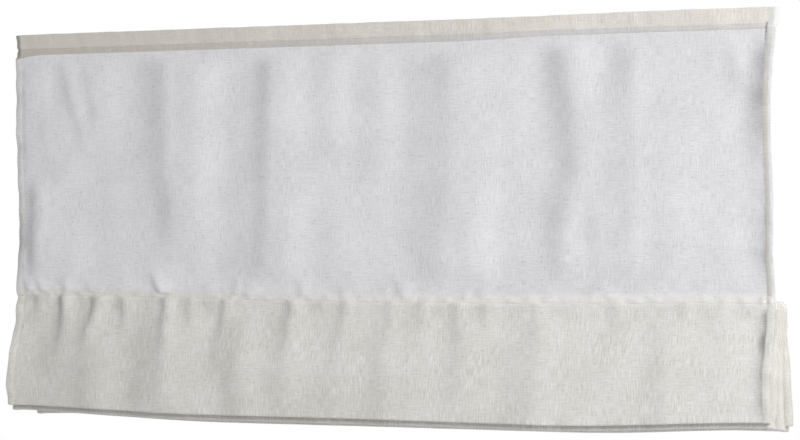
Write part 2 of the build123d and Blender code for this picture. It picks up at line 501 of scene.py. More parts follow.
@dataclass(frozen=True)
class TapeFinish(Finish):
    """Woven hook or loop tape with a napped face and a flat selvedge."""

    NAP: ClassVar[tuple[float]] = (1900.0,)
    ROWS: ClassVar[Spot] = (12.0, 12.0, 900.0)
    SOCKETS: ClassVar[dict[str, float]] = {"Sheen Weight": 0.3, "Specular IOR Level": 0.2}

    def paint(self, shader: Shader, place: Value) -> dict[str, Value]:
        """Nap the face over its woven rows."""
        nap, rows = shader.noise(place, self.NAP, 3.0), shader.noise(place, self.ROWS)
        return {
            "Base Color": self.between(shader, nap * 0.7 + rows * 0.3),
            "Roughness": nap * 0.1 + 0.85,
            "Normal": shader.bump(nap, 0.6, 0.0006),
        }


@dataclass(frozen=True)
class Ease:
    """A window that opens from 0 to 1 over a run, which is below 0 where it opens towards lower values."""

    start: float
    run: float

    def at(self, values: Grid) -> Grid:
        """How far the window is open at the values."""
        return smooth((values - self.start) / self.run)


class Waver:
    """Seeded soft noise along a line or over the cloth, as a sum of sines."""

    def __init__(self, seed: int, lengths: Sequence[float], lean: float = 0.0) -> None:
        """Draw the waves.

        Args:
            seed: Seed of the draw.
            lengths: Wave lengths in metres.
            lean: How much of each wave runs along the second axis.
        """
        draw = np.random.default_rng(seed)
        self.rates = 2.0 * math.pi / np.array(lengths) * draw.uniform(0.8, 1.25, len(lengths))
        self.phases = draw.uniform(0.0, 2.0 * math.pi, len(lengths))
        self.leans = lean * draw.uniform(-1.0, 1.0, len(lengths))

    def at(self, first: Grid, second: Grid | float = 0.0) -> Grid:
        """Return the noise, about -1 to 1, at places along the two axes."""
        waves = zip(self.rates, self.phases, self.leans)
        total = sum(np.sin(rate * (first + lean * second) + phase) for rate, phase, lean in waves)
        return total / math.sqrt(len(self.rates))


@dataclass(frozen=True)
class Ripple:
    """A soft upright ripple along a path of (height, place), steep on its left and gentle on its right."""

    path: tuple[tuple[float, float], ...]
    height: float
    steep: float
    gentle: float
    fade: float = 0.075

    def lift(self, x: Grid, z: Grid) -> Grid:
        """How far the cloth stands out.

        Args:
            x: Places across.
            z: Heights.

        Returns:
            The lift towards the room.
        """
        heights, places = zip(*reversed(self.path))
        away = x - np.interp(z, heights, places) - self.steep * 0.7
        width = np.where(away < 0.0, self.steep, self.gentle)
        window = smooth((heights[-1] + self.fade - z) / self.fade) * smooth((z - heights[0] + self.fade) / self.fade)
        return self.height * bell(away / width) * window


@dataclass(frozen=True)
class Pucker:
    """A small gather that runs off a seam and opens out, steeper on its left."""

    x: float
    reach: float
    height: float
    half: float
    lean: float = 0.0
    gentle: float = 2.2
    run: float = 0.0055

    def lift(self, x: Grid, away: Grid) -> Grid:
        """How far the cloth stands out.

        Args:
            x: Places across.
            away: Distances from the seam, below 0 past it.

        Returns:
            The lift towards the room.
        """
        share = away / self.reach
        opened = 1.0 + 0.8 * np.clip(share, 0.0, 2.0)
        off = (x - self.x - self.lean * away) / (self.half * opened) - 0.7
        across = np.where(off < 0.0, off, off / self.gentle)
        return self.height * bell(across) * (smooth((away + self.run) / self.run) * (1.0 - smooth(share)))


@dataclass(frozen=True)
class Crease:
    """A faint sharp line left by folding, as a low ridge between two points (x, z)."""

    start: tuple[float, float]
    end: tuple[float, float]
    height: float
    half: float = 0.0025

    def lift(self, x: Grid, z: Grid) -> Grid:
        """How far the cloth stands out.

        Args:
            x: Places across.
            z: Heights.

        Returns:
            The lift towards the room.
        """
        run = (x - self.start[0]) / (self.end[0] - self.start[0])
        away = (z - self.start[1] - unit(run) * (self.end[1] - self.start[1])) / self.half
        window = smooth((run + 0.08) / 0.16) * smooth((1.08 - run) / 0.16)
        return self.height * (bell(away) + 0.6 * np.tanh(away * 0.5)) * window


Finishes = tuple[Material, Material]


def side_view(depths: Grid, heights: Grid) -> Grid:
    """Pair depths with heights, as points of a side view."""
    return np.stack([depths, heights], -1)


def read_at(places: Grid, run: Grid, values: Grid) -> Grid:
    """Read vectors that are known along a run at other places on it."""
    return np.stack([np.interp(places, run, values[:, axis]) for axis in range(3)], -1)


class ClothMesh:
    """A stretch of cloth as a closed thin shell with its stitches."""

    MAP = "cloth"
    DOUBLED = "doubled"
    HEM = "hem"
    STITCH_SIDES = 5
    STITCH_DIP = -0.3
    STITCH_SHOULDER = 0.28
    STITCH_SEAT = 0.35
    STITCH_CROWN = 0.75

    def __init__(
        self,
        points: Grid,
        across: Grid,
        along: Grid,
        thickness: Grid,
        doubled: Grid,
        hem: Grid,
        square: Sequence[int] = (),
    ) -> None:
        """Thicken a grid of points, rows down the cloth and columns across.

        Args:
            points: The middle of the cloth, rows by columns by 3.
            across: Each column's distance from the left edge.
            along: Each row's distance down the cloth.
            thickness: The cloth's thickness at each point.
            doubled: 1 where the cloth is doubled by a band or strip, 0 where it is single.
            hem: How much the side hems' tint shows, partly painted shade on the right hem; 0 between them.
            square: Rows that meet the next stretch of the cloth edge to edge.
        """
        rows, columns = points.shape[:2]
        normal = np.cross(np.gradient(points, axis=0), np.gradient(points, axis=1))
        for row in square:
            normal[row, :, 2] = 0.0
        self.normal = normal / (np.linalg.norm(normal, axis=2, keepdims=True) + TINY)
        half = self.normal * thickness[..., None] / 2.0
        self.front, self.back = points + half, points - half
        count = rows * columns
        index = np.arange(count).reshape(rows, columns)
        one, two, three, four = index[:-1, :-1], index[1:, :-1], index[1:, 1:], index[:-1, 1:]
        faces = [np.stack([one, two, three, four], -1), np.stack([one, four, three, two], -1) + count]
        left, right, top, foot = index[:, 0], index[:, -1], index[0], index[-1]
        for line, flip in ((left, False), (right, True), (top, True), (foot, False)):
            near, far = line[:-1], line[1:]
            rim = [near, near + count, far + count, far]
            faces.append(np.stack(rim[::-1] if flip else rim, -1))
        self.vertices = [self.front.reshape(-1, 3), self.back.reshape(-1, 3)]
        self.faces = [np.concatenate([part.reshape(-1, 4) for part in faces])]
        self.map = [np.stack(np.meshgrid(across, along), -1).reshape(-1, 2)] * 2
        self.marks = {self.DOUBLED: [doubled.reshape(-1)] * 2, self.HEM: [hem.reshape(-1)] * 2}
        self.cloth_faces = len(self.faces[0])
        self.seam_faces = 2 * (columns - 1)
        ends = np.concatenate([index[row] for row in (0, -1, *square)])
        self.rims = np.concatenate([ends, ends + count])
        self.count = 2 * count

    def stitch(self, path: Grid, normal: Grid, pitch: float, length: float, radius: float) -> None:
        """Lay a row of stitches along a line on the surface.

        Args:
            path: Points of the line.
            normal: The surface's normal at each point.
            pitch: Distance from stitch to stitch.
            length: A stitch's length.
            radius: The thread's half width.
        """
        run = lengths_along(path)
        places = np.arange(pitch / 2.0, run[-1] - length / 2.0, pitch)
        centre, up = read_at(places, run, path), read_at(places, run, normal)
        up /= np.linalg.norm(up, axis=1, keepdims=True)
        forward = read_at(places + length / 2.0, run, path) - read_at(places - length / 2.0, run, path)
        forward /= np.linalg.norm(forward, axis=1, keepdims=True) + TINY
        sides, last = self.STITCH_SIDES, 2 * self.STITCH_SIDES + 1
        turns = 2.0 * math.pi * np.arange(sides) / sides
        heights = radius * (self.STITCH_SEAT + self.STITCH_CROWN * np.sin(turns))
        offsets = [(-0.5 * length, 0.0, self.STITCH_DIP * radius)]
        for reach in (-self.STITCH_SHOULDER * length, self.STITCH_SHOULDER * length):
            offsets += [(reach, radius * math.cos(turn), height) for turn, height in zip(turns, heights)]
        offsets.append((0.5 * length, 0.0, self.STITCH_DIP * radius))
        axes = np.stack([forward, np.cross(forward, up), up], 1)
        points = centre[:, None, :] + np.einsum("pk,nkd->npd", np.array(offsets), axes)
        faces = []
        for n in range(sides):
            m = (n + 1) % sides
            faces += [(0, 1 + m, 1 + n, 1 + n), (1 + n, 1 + m, 1 + sides + m, 1 + sides + n)]
            faces += [(last, 1 + sides + n, 1 + sides + m, 1 + sides + m)]
        starts = self.count + len(offsets) * np.arange(len(places))
        added = len(places) * len(offsets)
        self.vertices.append(points.reshape(-1, 3))
        self.faces.append((np.array(faces)[None] + starts[:, None, None]).reshape(-1, 4))
        self.map.append(np.zeros((added, 2)))
        for marks in self.marks.values():
            marks.append(np.zeros(added))
        self.count += added

    def build(self, name: str, finishes: Finishes) -> Piece:
        """Make the object.

        Args:
            name: The piece's name.
            finishes: The cloth's finish and the stitches'.

        Returns:
            The object, at the origin.
        """
        outlines = [tuple(dict.fromkeys(face)) for face in np.concatenate(self.faces).tolist()]
        mesh = bpy.data.meshes.new(name)
        mesh.from_pydata(np.concatenate(self.vertices).tolist(), [], outlines)
        for finish in finishes:
            mesh.materials.append(finish)
        kinds = (np.arange(len(outlines)) >= self.cloth_faces).astype(np.int32)
        mesh.polygons.foreach_set("material_index", kinds)
        rounded = np.ones(len(outlines), bool)
        rounded[self.cloth_faces - self.seam_faces : self.cloth_faces] = False
        mesh.polygons.foreach_set("use_smooth", rounded)
        ends = np.zeros(2 * len(mesh.edges), np.int32)
        mesh.edges.foreach_get("vertices", ends)
        mesh.edges.foreach_set("use_edge_sharp", np.isin(ends.reshape(-1, 2), self.rims).all(axis=1))
        corners = np.zeros(len(mesh.loops), np.int32)
        mesh.loops.foreach_get("vertex_index", corners)
        layer = mesh.uv_layers.new(name=self.MAP)
        layer.data.foreach_set("uv", np.concatenate(self.map)[corners].astype(np.float32).ravel())
        for mark, values in self.marks.items():
            attribute = mesh.attributes.new(mark, "FLOAT", "POINT")
            attribute.data.foreach_set("value", np.concatenate(values).astype(np.float32))
        mesh.update()
        piece = bpy.data.objects.new(name, mesh)
        bpy.context.scene.collection.objects.link(piece)
        return piece


@dataclass
class Cloth:
    """The sewn cloth: header, hanging drop, folds over the rods, rod pockets and the flap with its bottom hem."""

    width: float = 1.0
    thickness: float = 0.0006
    header_top: float = 0.043
    header_foot: float = 0.016
    strip_top: float = 0.0238
    strip_groove: float = 0.0003
    strip_swell: float = 0.0002
    top_rise: float = 0.0015
    foot_lift: float = 0.0031
    foot_droop: float = -0.0056
    hem: float = 0.0095
    hem_swell: float = 0.0012
    depth: float = -0.04785
    header_depth: float = -0.04778
    header_thickness: float = 0.0013
    tuck_depth: float = 0.0014
    tuck_drop: float = 0.0008
    curl_slope: float = 0.74
    curl_reach: float = 0.0085
    curl_round: float = 0.0010
    right_curl: float = 0.0030
    slit_step: float = 0.0019
    flutter: float = 0.0013
    flutter_reach: float = 0.014
    edge_turn: float = 0.0062
    edge_hollow: float = 0.0030
    drop_swell: float = 1.25
    drop_ease: float = 0.02
    band: float = 0.012
    band_swell: float = 0.0008
    band_crinkle: float = 0.0006
    band_groove: float = 0.0006
    band_rows: tuple[float, ...] = (0.0, 0.7, 1.4, 3.0, 5.0, 6.6, 7.6, 8.4, 9.0, 9.6, 10.2, 10.8, 11.4, 12.0)
    hem_stand: float = 0.0058
    left_curl: float = 0.0044
    left_draw: float = 0.0025
    seam_waver: float = 0.0005
    bulge: float = 0.014
    fold_gap: float = 0.0115
    fold_half: float = 0.004
    fold_swell: float = 1.2
    turn_power: float = 0.55
    roll_half: float = 0.0024
    roll_drop: float = 0.0030
    fold_hang: float = 0.14325
    flap_hang: float = 0.147
    bottom_hem: float = 0.030
    hem_wall: float = 0.025
    bar_pocket: float = 0.0048
    fine: float = 0.0040
    coarse: float = 0.0070
    stitch_pitch: float = 0.0042
    stitch_length: float = 0.0031
    thread_radius: float = 0.00028
    stitch_side: float = 0.0007
    sags: tuple[float, ...] = (0.0090, 0.0086, 0.0084, 0.0086, 0.0)
    sag_tilts: tuple[float, ...] = (0.22, 0.12, 0.06, 0.06, 0.0)
    drops: tuple[float, ...] = (0.0, 0.0045, 0.0045, 0.0030, -0.0015)
    waves: tuple[float, ...] = (0.0007, 0.0014, 0.0014, 0.0007, 0.0014)
    slips: tuple[tuple[float, float], ...] = (
        (-0.005, -0.0036),
        (-0.0022, 0.000),
        (0.013, 0.006),
        (0.016, 0.0145),
        (0.013, 0.008),
    )
    empties: tuple[float, ...] = (0.0, 0.0042, 0.0017, 0.0, 0.0)
    empty_reach: float = 0.011
    # Painted shade: where the darker tint starts on the right hem's inner half.
    right_hem_shade: Ease = Ease(0.0026, 0.003)
    seam_right: Ease = Ease(0.15, 0.30)
    foot_right: Ease = Ease(0.11, 0.13)
    slit_top: Ease = Ease(0.029, -0.007)
    slit_foot: Ease = Ease(-0.004, 0.015)
    crown: Ease = Ease(0.030, 0.013)
    top_right: Ease = Ease(0.17, 0.16)
    dent_start: Ease = Ease(0.0, 0.004)
    dent_end: Ease = Ease(0.02, 0.007)
    dent_height: float = 0.0002
    top_waver: float = 0.00025
    strip_edge: float = 0.001
    foot_blend: float = 0.003
    drop_mild: float = 0.0008
    drop_start: Ease = Ease(0.0, 0.026)
    drop_end: Ease = Ease(0.002, 0.040)
    drop_foot: Ease = Ease(0.02, -0.02)
    drop_shifted: Ease = Ease(0.0, 0.07)
    drop_drawn: Ease = Ease(0.0, 0.035)
    drop_hem_shaded: Ease = Ease(0.0, 0.022)
    drop_doubled: Ease = Ease(0.0, 0.0045)
    lean_start: float = 0.12
    lean_end: float = 0.64
    sag_start: float = 0.004
    sag_end: float = 0.012
    sag_left: Ease = Ease(-0.51, 0.30)
    sag_right: Ease = Ease(0.50, -0.26)
    sag_tilt: Ease = Ease(-0.05, 0.28)
    sag_corner: Ease = Ease(-0.505, 0.07)
    corner_lift: float = 0.0060
    ripple_start: float = 0.010
    ripple_run: float = 0.030
    flap_stiff: float = 0.032
    flap_ease: float = 0.08
    fold_mild: float = 0.0006
    fold_flutter: float = 0.8
    fold_loss: float = 0.12
    gathers_right: Ease = Ease(-0.25, 0.25)
    under_band: Ease = Ease(0.0, 0.012)
    stand_fade: Ease = Ease(0.060, 0.045)
    seam_waved: Ease = Ease(0.03, -0.03)
    seam_shifted: Ease = Ease(0.0, 0.06)
    left_drawn: Ease = Ease(0.06, 0.05)
    groove_place: float = 0.83
    groove_half: float = 0.075
    sewn_gap: float = 0.0011
    pocket_half: float = 0.00295
    pocket_legs: tuple[float, ...] = (-0.0062, -0.0048, -0.0024)
    rods: list[Vector] = field(init=False)
    stack: Finishes = field(init=False)

    drop_ripples: tuple[Ripple, ...] = (
        Ripple(((0.010, -0.292), (-0.145, -0.292), (-0.190, -0.285)), 0.0064, 0.025, 0.060),
        Ripple(((0.0, -0.148), (-0.112, -0.151), (-0.200, -0.152), (-0.276, -0.158)), 0.0066, 0.024, 0.055),
        Ripple(((0.004, -0.065), (-0.070, -0.066)), 0.0022, 0.022, 0.045),
        Ripple(
            ((-0.020, 0.088), (-0.090, 0.091), (-0.177, 0.089), (-0.238, 0.084), (-0.280, 0.080)),
            0.0054, 0.028, 0.055,
        ),
        Ripple(
            ((0.0, 0.232), (-0.082, 0.248), (-0.136, 0.252), (-0.220, 0.228), (-0.265, 0.230)),
            0.0052, 0.027, 0.045,
        ),
        Ripple(((0.008, 0.320), (-0.110, 0.325), (-0.200, 0.322), (-0.270, 0.318)), 0.0052, 0.027, 0.095),
        Ripple(((-0.215, 0.280), (-0.280, 0.285)), 0.0020, 0.014, 0.030),
        Ripple(((0.010, 0.441), (-0.034, 0.452)), 0.0030, 0.016, 0.024, 0.035),
        Ripple(((0.008, -0.436), (-0.040, -0.424), (-0.085, -0.407)), 0.0020, 0.012, 0.024, 0.04),
        Ripple(((0.008, -0.402), (-0.060, -0.388)), 0.0018, 0.012, 0.028, 0.04),
        Ripple(((-0.090, -0.460), (-0.140, -0.450)), 0.0016, 0.014, 0.030, 0.05),
        Ripple(((-0.175, -0.476), (-0.280, -0.474)), 0.0034, 0.016, 0.030, 0.04),
        Ripple(((-0.130, -0.070), (-0.280, -0.066)), 0.0022, 0.050, 0.065),
    )
    drop_creases: tuple[Crease, ...] = (
        Crease((-0.49, -0.143), (0.06, -0.149), 0.00042),
        Crease((0.270, -0.220), (0.490, -0.238), 0.00050, 0.0030),
        Crease((0.345, -0.184), (0.485, -0.200), 0.00035),
        Crease((0.300, -0.236), (0.430, -0.246), 0.00025),
        Crease((0.420, -0.150), (0.490, -0.128), 0.00060, 0.0035),
        Crease((0.430, -0.176), (0.488, -0.166), 0.00045, 0.0030),
        Crease((-0.488, -0.190), (-0.450, -0.160), 0.00050, 0.0030),
        Crease((-0.488, -0.235), (-0.455, -0.210), 0.00045, 0.0030),
    )
    above_seam: tuple[Pucker, ...] = (
        Pucker(-0.484, 0.022, 0.0020, 0.0040, -0.35),
        Pucker(-0.465, 0.024, 0.0020, 0.0042, -0.4),
        Pucker(-0.429, 0.026, 0.0018, 0.0045, -0.4),
        Pucker(-0.395, 0.022, 0.0013, 0.0045, -0.3),
        Pucker(-0.294, 0.036, 0.0034, 0.0048, -0.55),
        Pucker(-0.187, 0.024, 0.0015, 0.0042, -0.2),
        Pucker(-0.173, 0.026, 0.0017, 0.0042, 0.1),
        Pucker(-0.098, 0.028, 0.0016, 0.0045, -0.2),
        Pucker(-0.044, 0.022, 0.0012, 0.0045, 0.2),
        Pucker(0.035, 0.028, 0.0018, 0.0045, -0.3),
        Pucker(0.139, 0.022, 0.0013, 0.0045, -0.2),
        Pucker(0.277, 0.022, 0.0013, 0.0042, 0.3),
        Pucker(0.296, 0.022, 0.0013, 0.0042, -0.3),
    )
    below_seam: tuple[Pucker, ...] = (
        Pucker(-0.471, 0.044, 0.0028, 0.0046),
        Pucker(-0.433, 0.092, 0.0050, 0.0054),
        Pucker(-0.383, 0.092, 0.0043, 0.0052, -0.28),
        Pucker(-0.345, 0.056, 0.0036, 0.0052),
        Pucker(-0.287, 0.096, 0.0038, 0.0058, 0.05),
        Pucker(-0.252, 0.054, 0.0026, 0.0050),
        Pucker(-0.203, 0.104, 0.0035, 0.0062, -0.1),
        Pucker(-0.114, 0.096, 0.0035, 0.0062),
        Pucker(-0.040, 0.090, 0.0033, 0.0062, -0.1),
        Pucker(0.019, 0.070, 0.0027, 0.0056),
        Pucker(0.060, 0.062, 0.0022, 0.0052),
        Pucker(0.104, 0.070, 0.0027, 0.0054, 0.1),
        Pucker(0.142, 0.062, 0.0023, 0.0050),
        Pucker(0.205, 0.070, 0.0025, 0.0056, 0.1),
        Pucker(0.304, 0.062, 0.0021, 0.0054),
        Pucker(0.389, 0.056, 0.0018, 0.0050),
    )
    fold_ripples: tuple[Ripple, ...] = (
        Ripple(((-0.345, -0.406), (-0.420, -0.396)), 0.0036, 0.024, 0.036),
        Ripple(((-0.335, -0.322), (-0.430, -0.316)), 0.0018, 0.022, 0.045),
        Ripple(((-0.335, -0.290), (-0.410, -0.284)), 0.0034, 0.024, 0.050),
        Ripple(((-0.330, -0.188), (-0.410, -0.183)), 0.0032, 0.023, 0.045),
        Ripple(((-0.330, -0.122), (-0.400, -0.118)), 0.0022, 0.022, 0.045),
        Ripple(((-0.330, -0.045), (-0.390, -0.040)), 0.0008, 0.022, 0.040),
        Ripple(((-0.340, 0.010), (-0.420, 0.018)), 0.0026, 0.022, 0.050),
        Ripple(((-0.340, 0.110), (-0.390, 0.105)), 0.0019, 0.022, 0.045),
        Ripple(((-0.340, 0.208), (-0.425, 0.205)), 0.0025, 0.022, 0.050),
        Ripple(((-0.350, 0.285), (-0.425, 0.280)), 0.0008, 0.022, 0.050),
        Ripple(((-0.350, 0.362), (-0.425, 0.366)), 0.0022, 0.022, 0.045),
    )

    def __post_init__(self) -> None:
        """Read the rods' places from the frame and draw the seeded wavers and small gathers."""
        self.half = self.width / 2.0
        self.last = len(self.sags) - 1
        self.rods = [sum(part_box(f"rod_{k + 1}"), Vector()) / 2.0 for k in range(len(self.sags))]
        self.mild = Waver(11, (0.21, 0.13, 0.085, 0.05), 0.5)
        self.edges = {-1: Waver(21, (0.11, 0.062, 0.036)), 1: Waver(34, (0.12, 0.055, 0.033))}
        self.top_line = Waver(5, (0.23, 0.09, 0.041))
        self.seam_line = Waver(8, (0.16, 0.06, 0.028))
        self.dents = Waver(15, (0.07, 0.04, 0.024, 0.015), 0.6)
        self.crinkle = Waver(17, (0.031, 0.019, 0.012, 0.0085), 0.5)
        self.fans = [Waver(60 + n, (0.17, 0.10, 0.055)) for n in range(2 * len(self.sags))]
        draw = np.random.default_rng(40)
        spots = draw.uniform(-0.488, 0.488, 90)
        for x in spots[:45]:
            reach, height = draw.uniform(0.008, 0.018), draw.uniform(0.0002, 0.0007)
            self.above_seam += (Pucker(x, reach, height, 0.0024, draw.uniform(-0.4, 0.4)),)
        for x in spots[45:]:
            reach, height = draw.uniform(0.012, 0.034), draw.uniform(0.4, 1.0) * (0.0011 - x * 0.0010)
            self.below_seam += (Pucker(x, reach, height, 0.0030, draw.uniform(-0.2, 0.2)),)

    def columns(self, step: float) -> Grid:
        """Distances from the left edge, close together at the side hems.

        Args:
            step: The distance between columns away from the hems.

        Returns:
            The distances.
        """
        rim = [0.0, 0.0004, 0.0012, 0.0024, 0.0038, 0.0052, 0.0066, 0.0080]
        rim += [self.hem + past for past in (-0.0006, 0.0, 0.0007, 0.002, 0.004, 0.0065)]
        inner = self.hem + 0.0095
        middle = np.linspace(inner, self.width - inner, round((self.width - 2.0 * inner) / step) + 1)
        return np.concatenate([rim, middle, self.width - np.array(rim[::-1])])

    def stitch_columns(self, across: Grid) -> tuple[int, int]:
        """The two columns that carry the side hems' stitches."""
        near = int(np.argmin(np.abs(across - self.hem - self.stitch_side)))
        return near, len(across) - 1 - near

    def side(self, across: Grid) -> Grid:
        """Distance from the nearer side edge."""
        return np.minimum(across, self.width - across)

    def hem_share(self, across: Grid) -> Grid:
        """1 on the side hems, 0 between them."""
        return 1.0 - smooth((self.side(across) - self.hem + 0.0004) / 0.0008)

    def hem_tint_and_shade(self, across: Grid, inner: float, rim: float) -> Grid:
        """How much the side hems' tint shows; on the right hem it is partly painted shade.

        Args:
            across: Distances from the left edge.
            inner: How much painted shade shows on the inner half of the right hem, the side away from the light.
            rim: How much painted shade shows along the right hem's outer edge, for the contact shadow between stacked
                layers.

        Returns:
            0 to 1.
        """
        side = self.side(across)
        edge, seam = bell(side / 0.0007), bell((side - self.hem) / 0.0012)
        left = unit(0.2 + 0.5 * edge + 0.5 * seam)
        # Painted shade on the right hem: its inner half, away from the light, and its outer edge, where layers shade
        # each other, take the darker hem tint.
        right = unit(0.08 + inner * self.right_hem_shade.at(side) + rim * edge)
        return self.hem_share(across) * np.where(across < self.half, left, right)

    def body(self, across: Grid) -> Grid:
        """Thickness of the cloth, which swells in the rolled side hems."""
        roll = 1.0 - ((self.side(across) - 0.47 * self.hem) / (0.505 * self.hem)) ** 2
        return self.thickness + self.hem_swell * np.sqrt(unit(roll))

    def pull(self, x: Grid, z: Grid) -> Grid:
        """How far the drop's side edges are drawn in or out.

        Args:
            x: Places across.
            z: Heights.

        Returns:
            The shift to the right.
        """
        heights = (-0.289, -0.240, -0.180, -0.120, -0.063, 0.0, 0.016, 0.043)
        right = np.interp(z, heights, (0.0, -0.0022, -0.0015, -0.0036, -0.0030, 0.0012, 0.0016, 0.0048))
        left = np.interp(z, heights, (0.0, -0.0006, 0.0026, 0.0006, -0.0008, -0.0010, -0.0018, -0.0040))
        return right * unit(x / self.half) ** 3 + left * unit(-x / self.half) ** 3

    def seam_shift(self, x: Grid, share: Grid | float) -> Grid:
        """How far the first rod pocket's band hangs off the rod's line.

        Args:
            x: Places across.
            share: 0 at the band's top, 1 at its foot.

        Returns:
            The shift upwards.
        """
        inwards, outwards = smooth((x + self.half) / 0.55), self.seam_right.at(x)
        top = -0.0045 * inwards + 0.0018 * outwards
        foot = 0.0030 - 0.0064 * inwards + 0.0015 * outwards
        return top + (foot - top) * share

    def foot_rise(self, x: Grid) -> Grid:
        """How far the header's strip is drawn up towards the right."""
        return self.foot_lift * self.foot_right.at(x)

    def foot_flare(self, x: Grid) -> Grid:
        """How far the header's foot turns down at its left end."""
        return self.foot_droop * unit(1.0 - (x + self.half) / 0.036) ** 1.4

    def slit(self, x: Grid, z: Grid) -> Grid:
        """The right hem's step forward, whose flank is the dark gap under the header's upper band."""
        step = smooth((0.0114 - self.half + x) / 0.0016)
        return self.slit_step * step * self.slit_top.at(z) * self.slit_foot.at(z)

    def edge_flutter(self, x: Grid, z: Grid) -> Grid:
        """Out-of-plane wave of the side hems."""
        left = self.edges[-1].at(z) * np.exp(-(x + self.half) / self.flutter_reach)
        return self.flutter * (left + self.edges[1].at(z) * np.exp(-(self.half - x) / self.flutter_reach))

    def gutter(self, x: Grid, z: Grid) -> Grid:
        """The drop's right hem, which stands forward, and the crumpled hollow beside its left hem.

        Args:
            x: Places across.
            z: Heights.

        Returns:
            The lift towards the room.
        """
        heights = (-0.285, -0.250, -0.205, -0.175, -0.145, -0.110, -0.060, -0.020, 0.010)
        stand = np.interp(z, heights, (0.0, 0.0036, 0.0028, 0.0030, 0.0038, 0.0060, 0.0092, 0.0094, 0.0060))
        hollow = np.interp(z, heights, (0.0, 0.2, 0.1, 0.4, 0.2, 0.0, 0.0, 0.0, 0.0))
        aback = np.interp(z, heights, (0.8, 1.0, 0.8, 0.3, 0.0, 0.0, 0.0, 0.0, 0.0))
        reach = np.interp(z, heights, (0.022, 0.028, 0.034, 0.036, 0.036, 0.034, 0.028, 0.026, 0.022))
        forward = stand * unit((self.hem + reach - (self.half - x)) / reach) ** 2
        turned = self.edge_turn * aback * unit(1.0 - (x + self.half) / 0.026) ** 1.3
        return forward - turned - self.edge_hollow * hollow * bell((x + self.half - 0.017) / 0.007)

    def finish(self, piece: Piece, body: str, flat: tuple[float, float], held: Held, on: Sequence[str]) -> None:
        """Hide the frame's cloth panel behind a finished stretch, and hang the stretch on its body.

        Args:
            piece: The stretch.
            body: The body that it rides on; empty for one that is left unattached.
            flat: Its width and length before folding; not used.
            held: How it is held; not used.
            on: What it hangs from or lies on; not used.
        """
        stand_for(piece, "cloth_panel", body)

    def sew(self, mesh: ClothMesh, line: Any, back: bool = False) -> None:
        """Stitch along a row or column of a stretch.

        Args:
            mesh: The stretch.
            line: The row or column, as an index of the grid.
            back: Whether the stitches lie on the back.
        """
        face, normal = (mesh.back, -mesh.normal) if back else (mesh.front, mesh.normal)
        mesh.stitch(face[line], normal[line], self.stitch_pitch, self.stitch_length, self.thread_radius)

    def sew_sides(self, mesh: ClothMesh, across: Grid, faces: Sequence[bool] = (False, True)) -> None:
        """Stitch both side hems of a stretch, on its front (False) and its back (True)."""
        for column in self.stitch_columns(across):
            for back in faces:
                self.sew(mesh, np.s_[:, column], back)

    def sew_row(self, mesh: ClothMesh, row: int, inset: int, back: bool = False) -> None:
        """Stitch across a stretch along one of its rows, between the side hems."""
        self.sew(mesh, np.s_[row, inset : mesh.front.shape[1] - inset], back)

    def header(self, finishes: Finishes) -> None:
        """The stitched band at the top, with a narrow doubled strip at its foot and a tuck behind the drop.

        Args:
            finishes: The cloth and the thread.
        """
        across = self.columns(self.fine)
        height = self.header_top - self.header_foot
        strip = self.header_top - self.strip_top
        down = np.array([0.0, 0.0005, 0.0012, 0.0025, 0.005, 0.008, 0.011, 0.014])
        groove = strip + np.array([-0.0030, -0.0016, -0.0009, -0.0004, 0.0, 0.0004, 0.0009, 0.0016, 0.003])
        along = np.concatenate([down, groove, height - np.array([0.0032, 0.0022, 0.0015, 0.0007, 0.0])])
        a, s = np.meshgrid(across, along)
        x, z = a - self.half, self.header_top - s
        lift = -self.strip_groove * bell((s - strip) / 0.0012) + self.slit(x, z)
        lift += self.strip_swell * smooth((s - strip) / self.strip_edge) * smooth((height - s) / self.foot_blend)
        lift += self.dent_height * self.dents.at(x, z) * self.dent_start.at(s) * (1.0 - self.dent_end.at(s))
        crown = self.crown.at(z)
        rise = (self.top_waver * self.top_line.at(x) + self.top_rise * self.top_right.at(x)) * crown
        rise += self.foot_rise(x) * unit(s / height) ** 3 * (1.0 - crown)
        rise += self.foot_flare(x) * smooth((s - strip) / (height - strip))
        heights = (0.016, 0.0205, 0.0236, 0.0265, 0.034, 0.043)
        pinch = np.interp(z, heights, (0.0, -0.0004, 0.0014, -0.0003, 0.0004, -0.0008)) * np.exp(-a / 0.005)
        rounded = np.sqrt(unit(self.curl_reach - a) ** 2 + self.curl_round**2) - self.curl_round
        curl = unit(self.curl_slope * rounded) + self.right_curl * unit(1.0 - (self.width - a) / 0.0050) ** 1.8
        curl = curl * smooth((z - self.header_foot) / 0.004)
        points = np.stack([x + self.pull(x, z) + pinch, self.header_depth - lift + curl, z + rise], -1)
        foot = smooth((s - height + self.foot_blend) / self.foot_blend)
        points[..., 1] += (self.depth - self.header_depth) * foot
        edge = np.sqrt(np.clip(s / 0.0012, 0.15, 1.0)) * np.sqrt(np.clip(self.side(a) / 0.0014, 0.12, 1.0))
        thickness = self.header_thickness * (1.0 + 0.15 * smooth((s - strip) / self.strip_edge)) * edge
        thickness += (self.thickness - thickness) * foot
        doubled = 0.85 * smooth((s - strip + 0.0012) / 0.0014)
        tuck = points[-1:].repeat(2, axis=0)
        tuck[..., 1] += self.tuck_depth
        tuck[1, :, 2] = np.minimum(tuck[1, :, 2], self.header_foot) - self.tuck_drop
        marks = (thickness, doubled, self.hem_share(a) * (x > 0.0))
        grown = [np.concatenate([mark, mark[-1:].repeat(2, axis=0)]) for mark in marks]
        lines = np.concatenate([along, height + self.tuck_depth * np.array([1.0, 2.0])])
        mesh = ClothMesh(np.concatenate([points, tuck]), across, lines, *grown, (-3,))
        for row in (len(down) + 2, len(along) - 3):
            self.sew_row(mesh, row, self.stitch_columns(across)[0])
        self.sew_sides(mesh, across, (False,))
        flat = (self.width, height + 2.0 * self.tuck_depth)
        self.finish(mesh.build("header", finishes), "headrail", flat, Held.STRETCHED, ["loop_tape"])

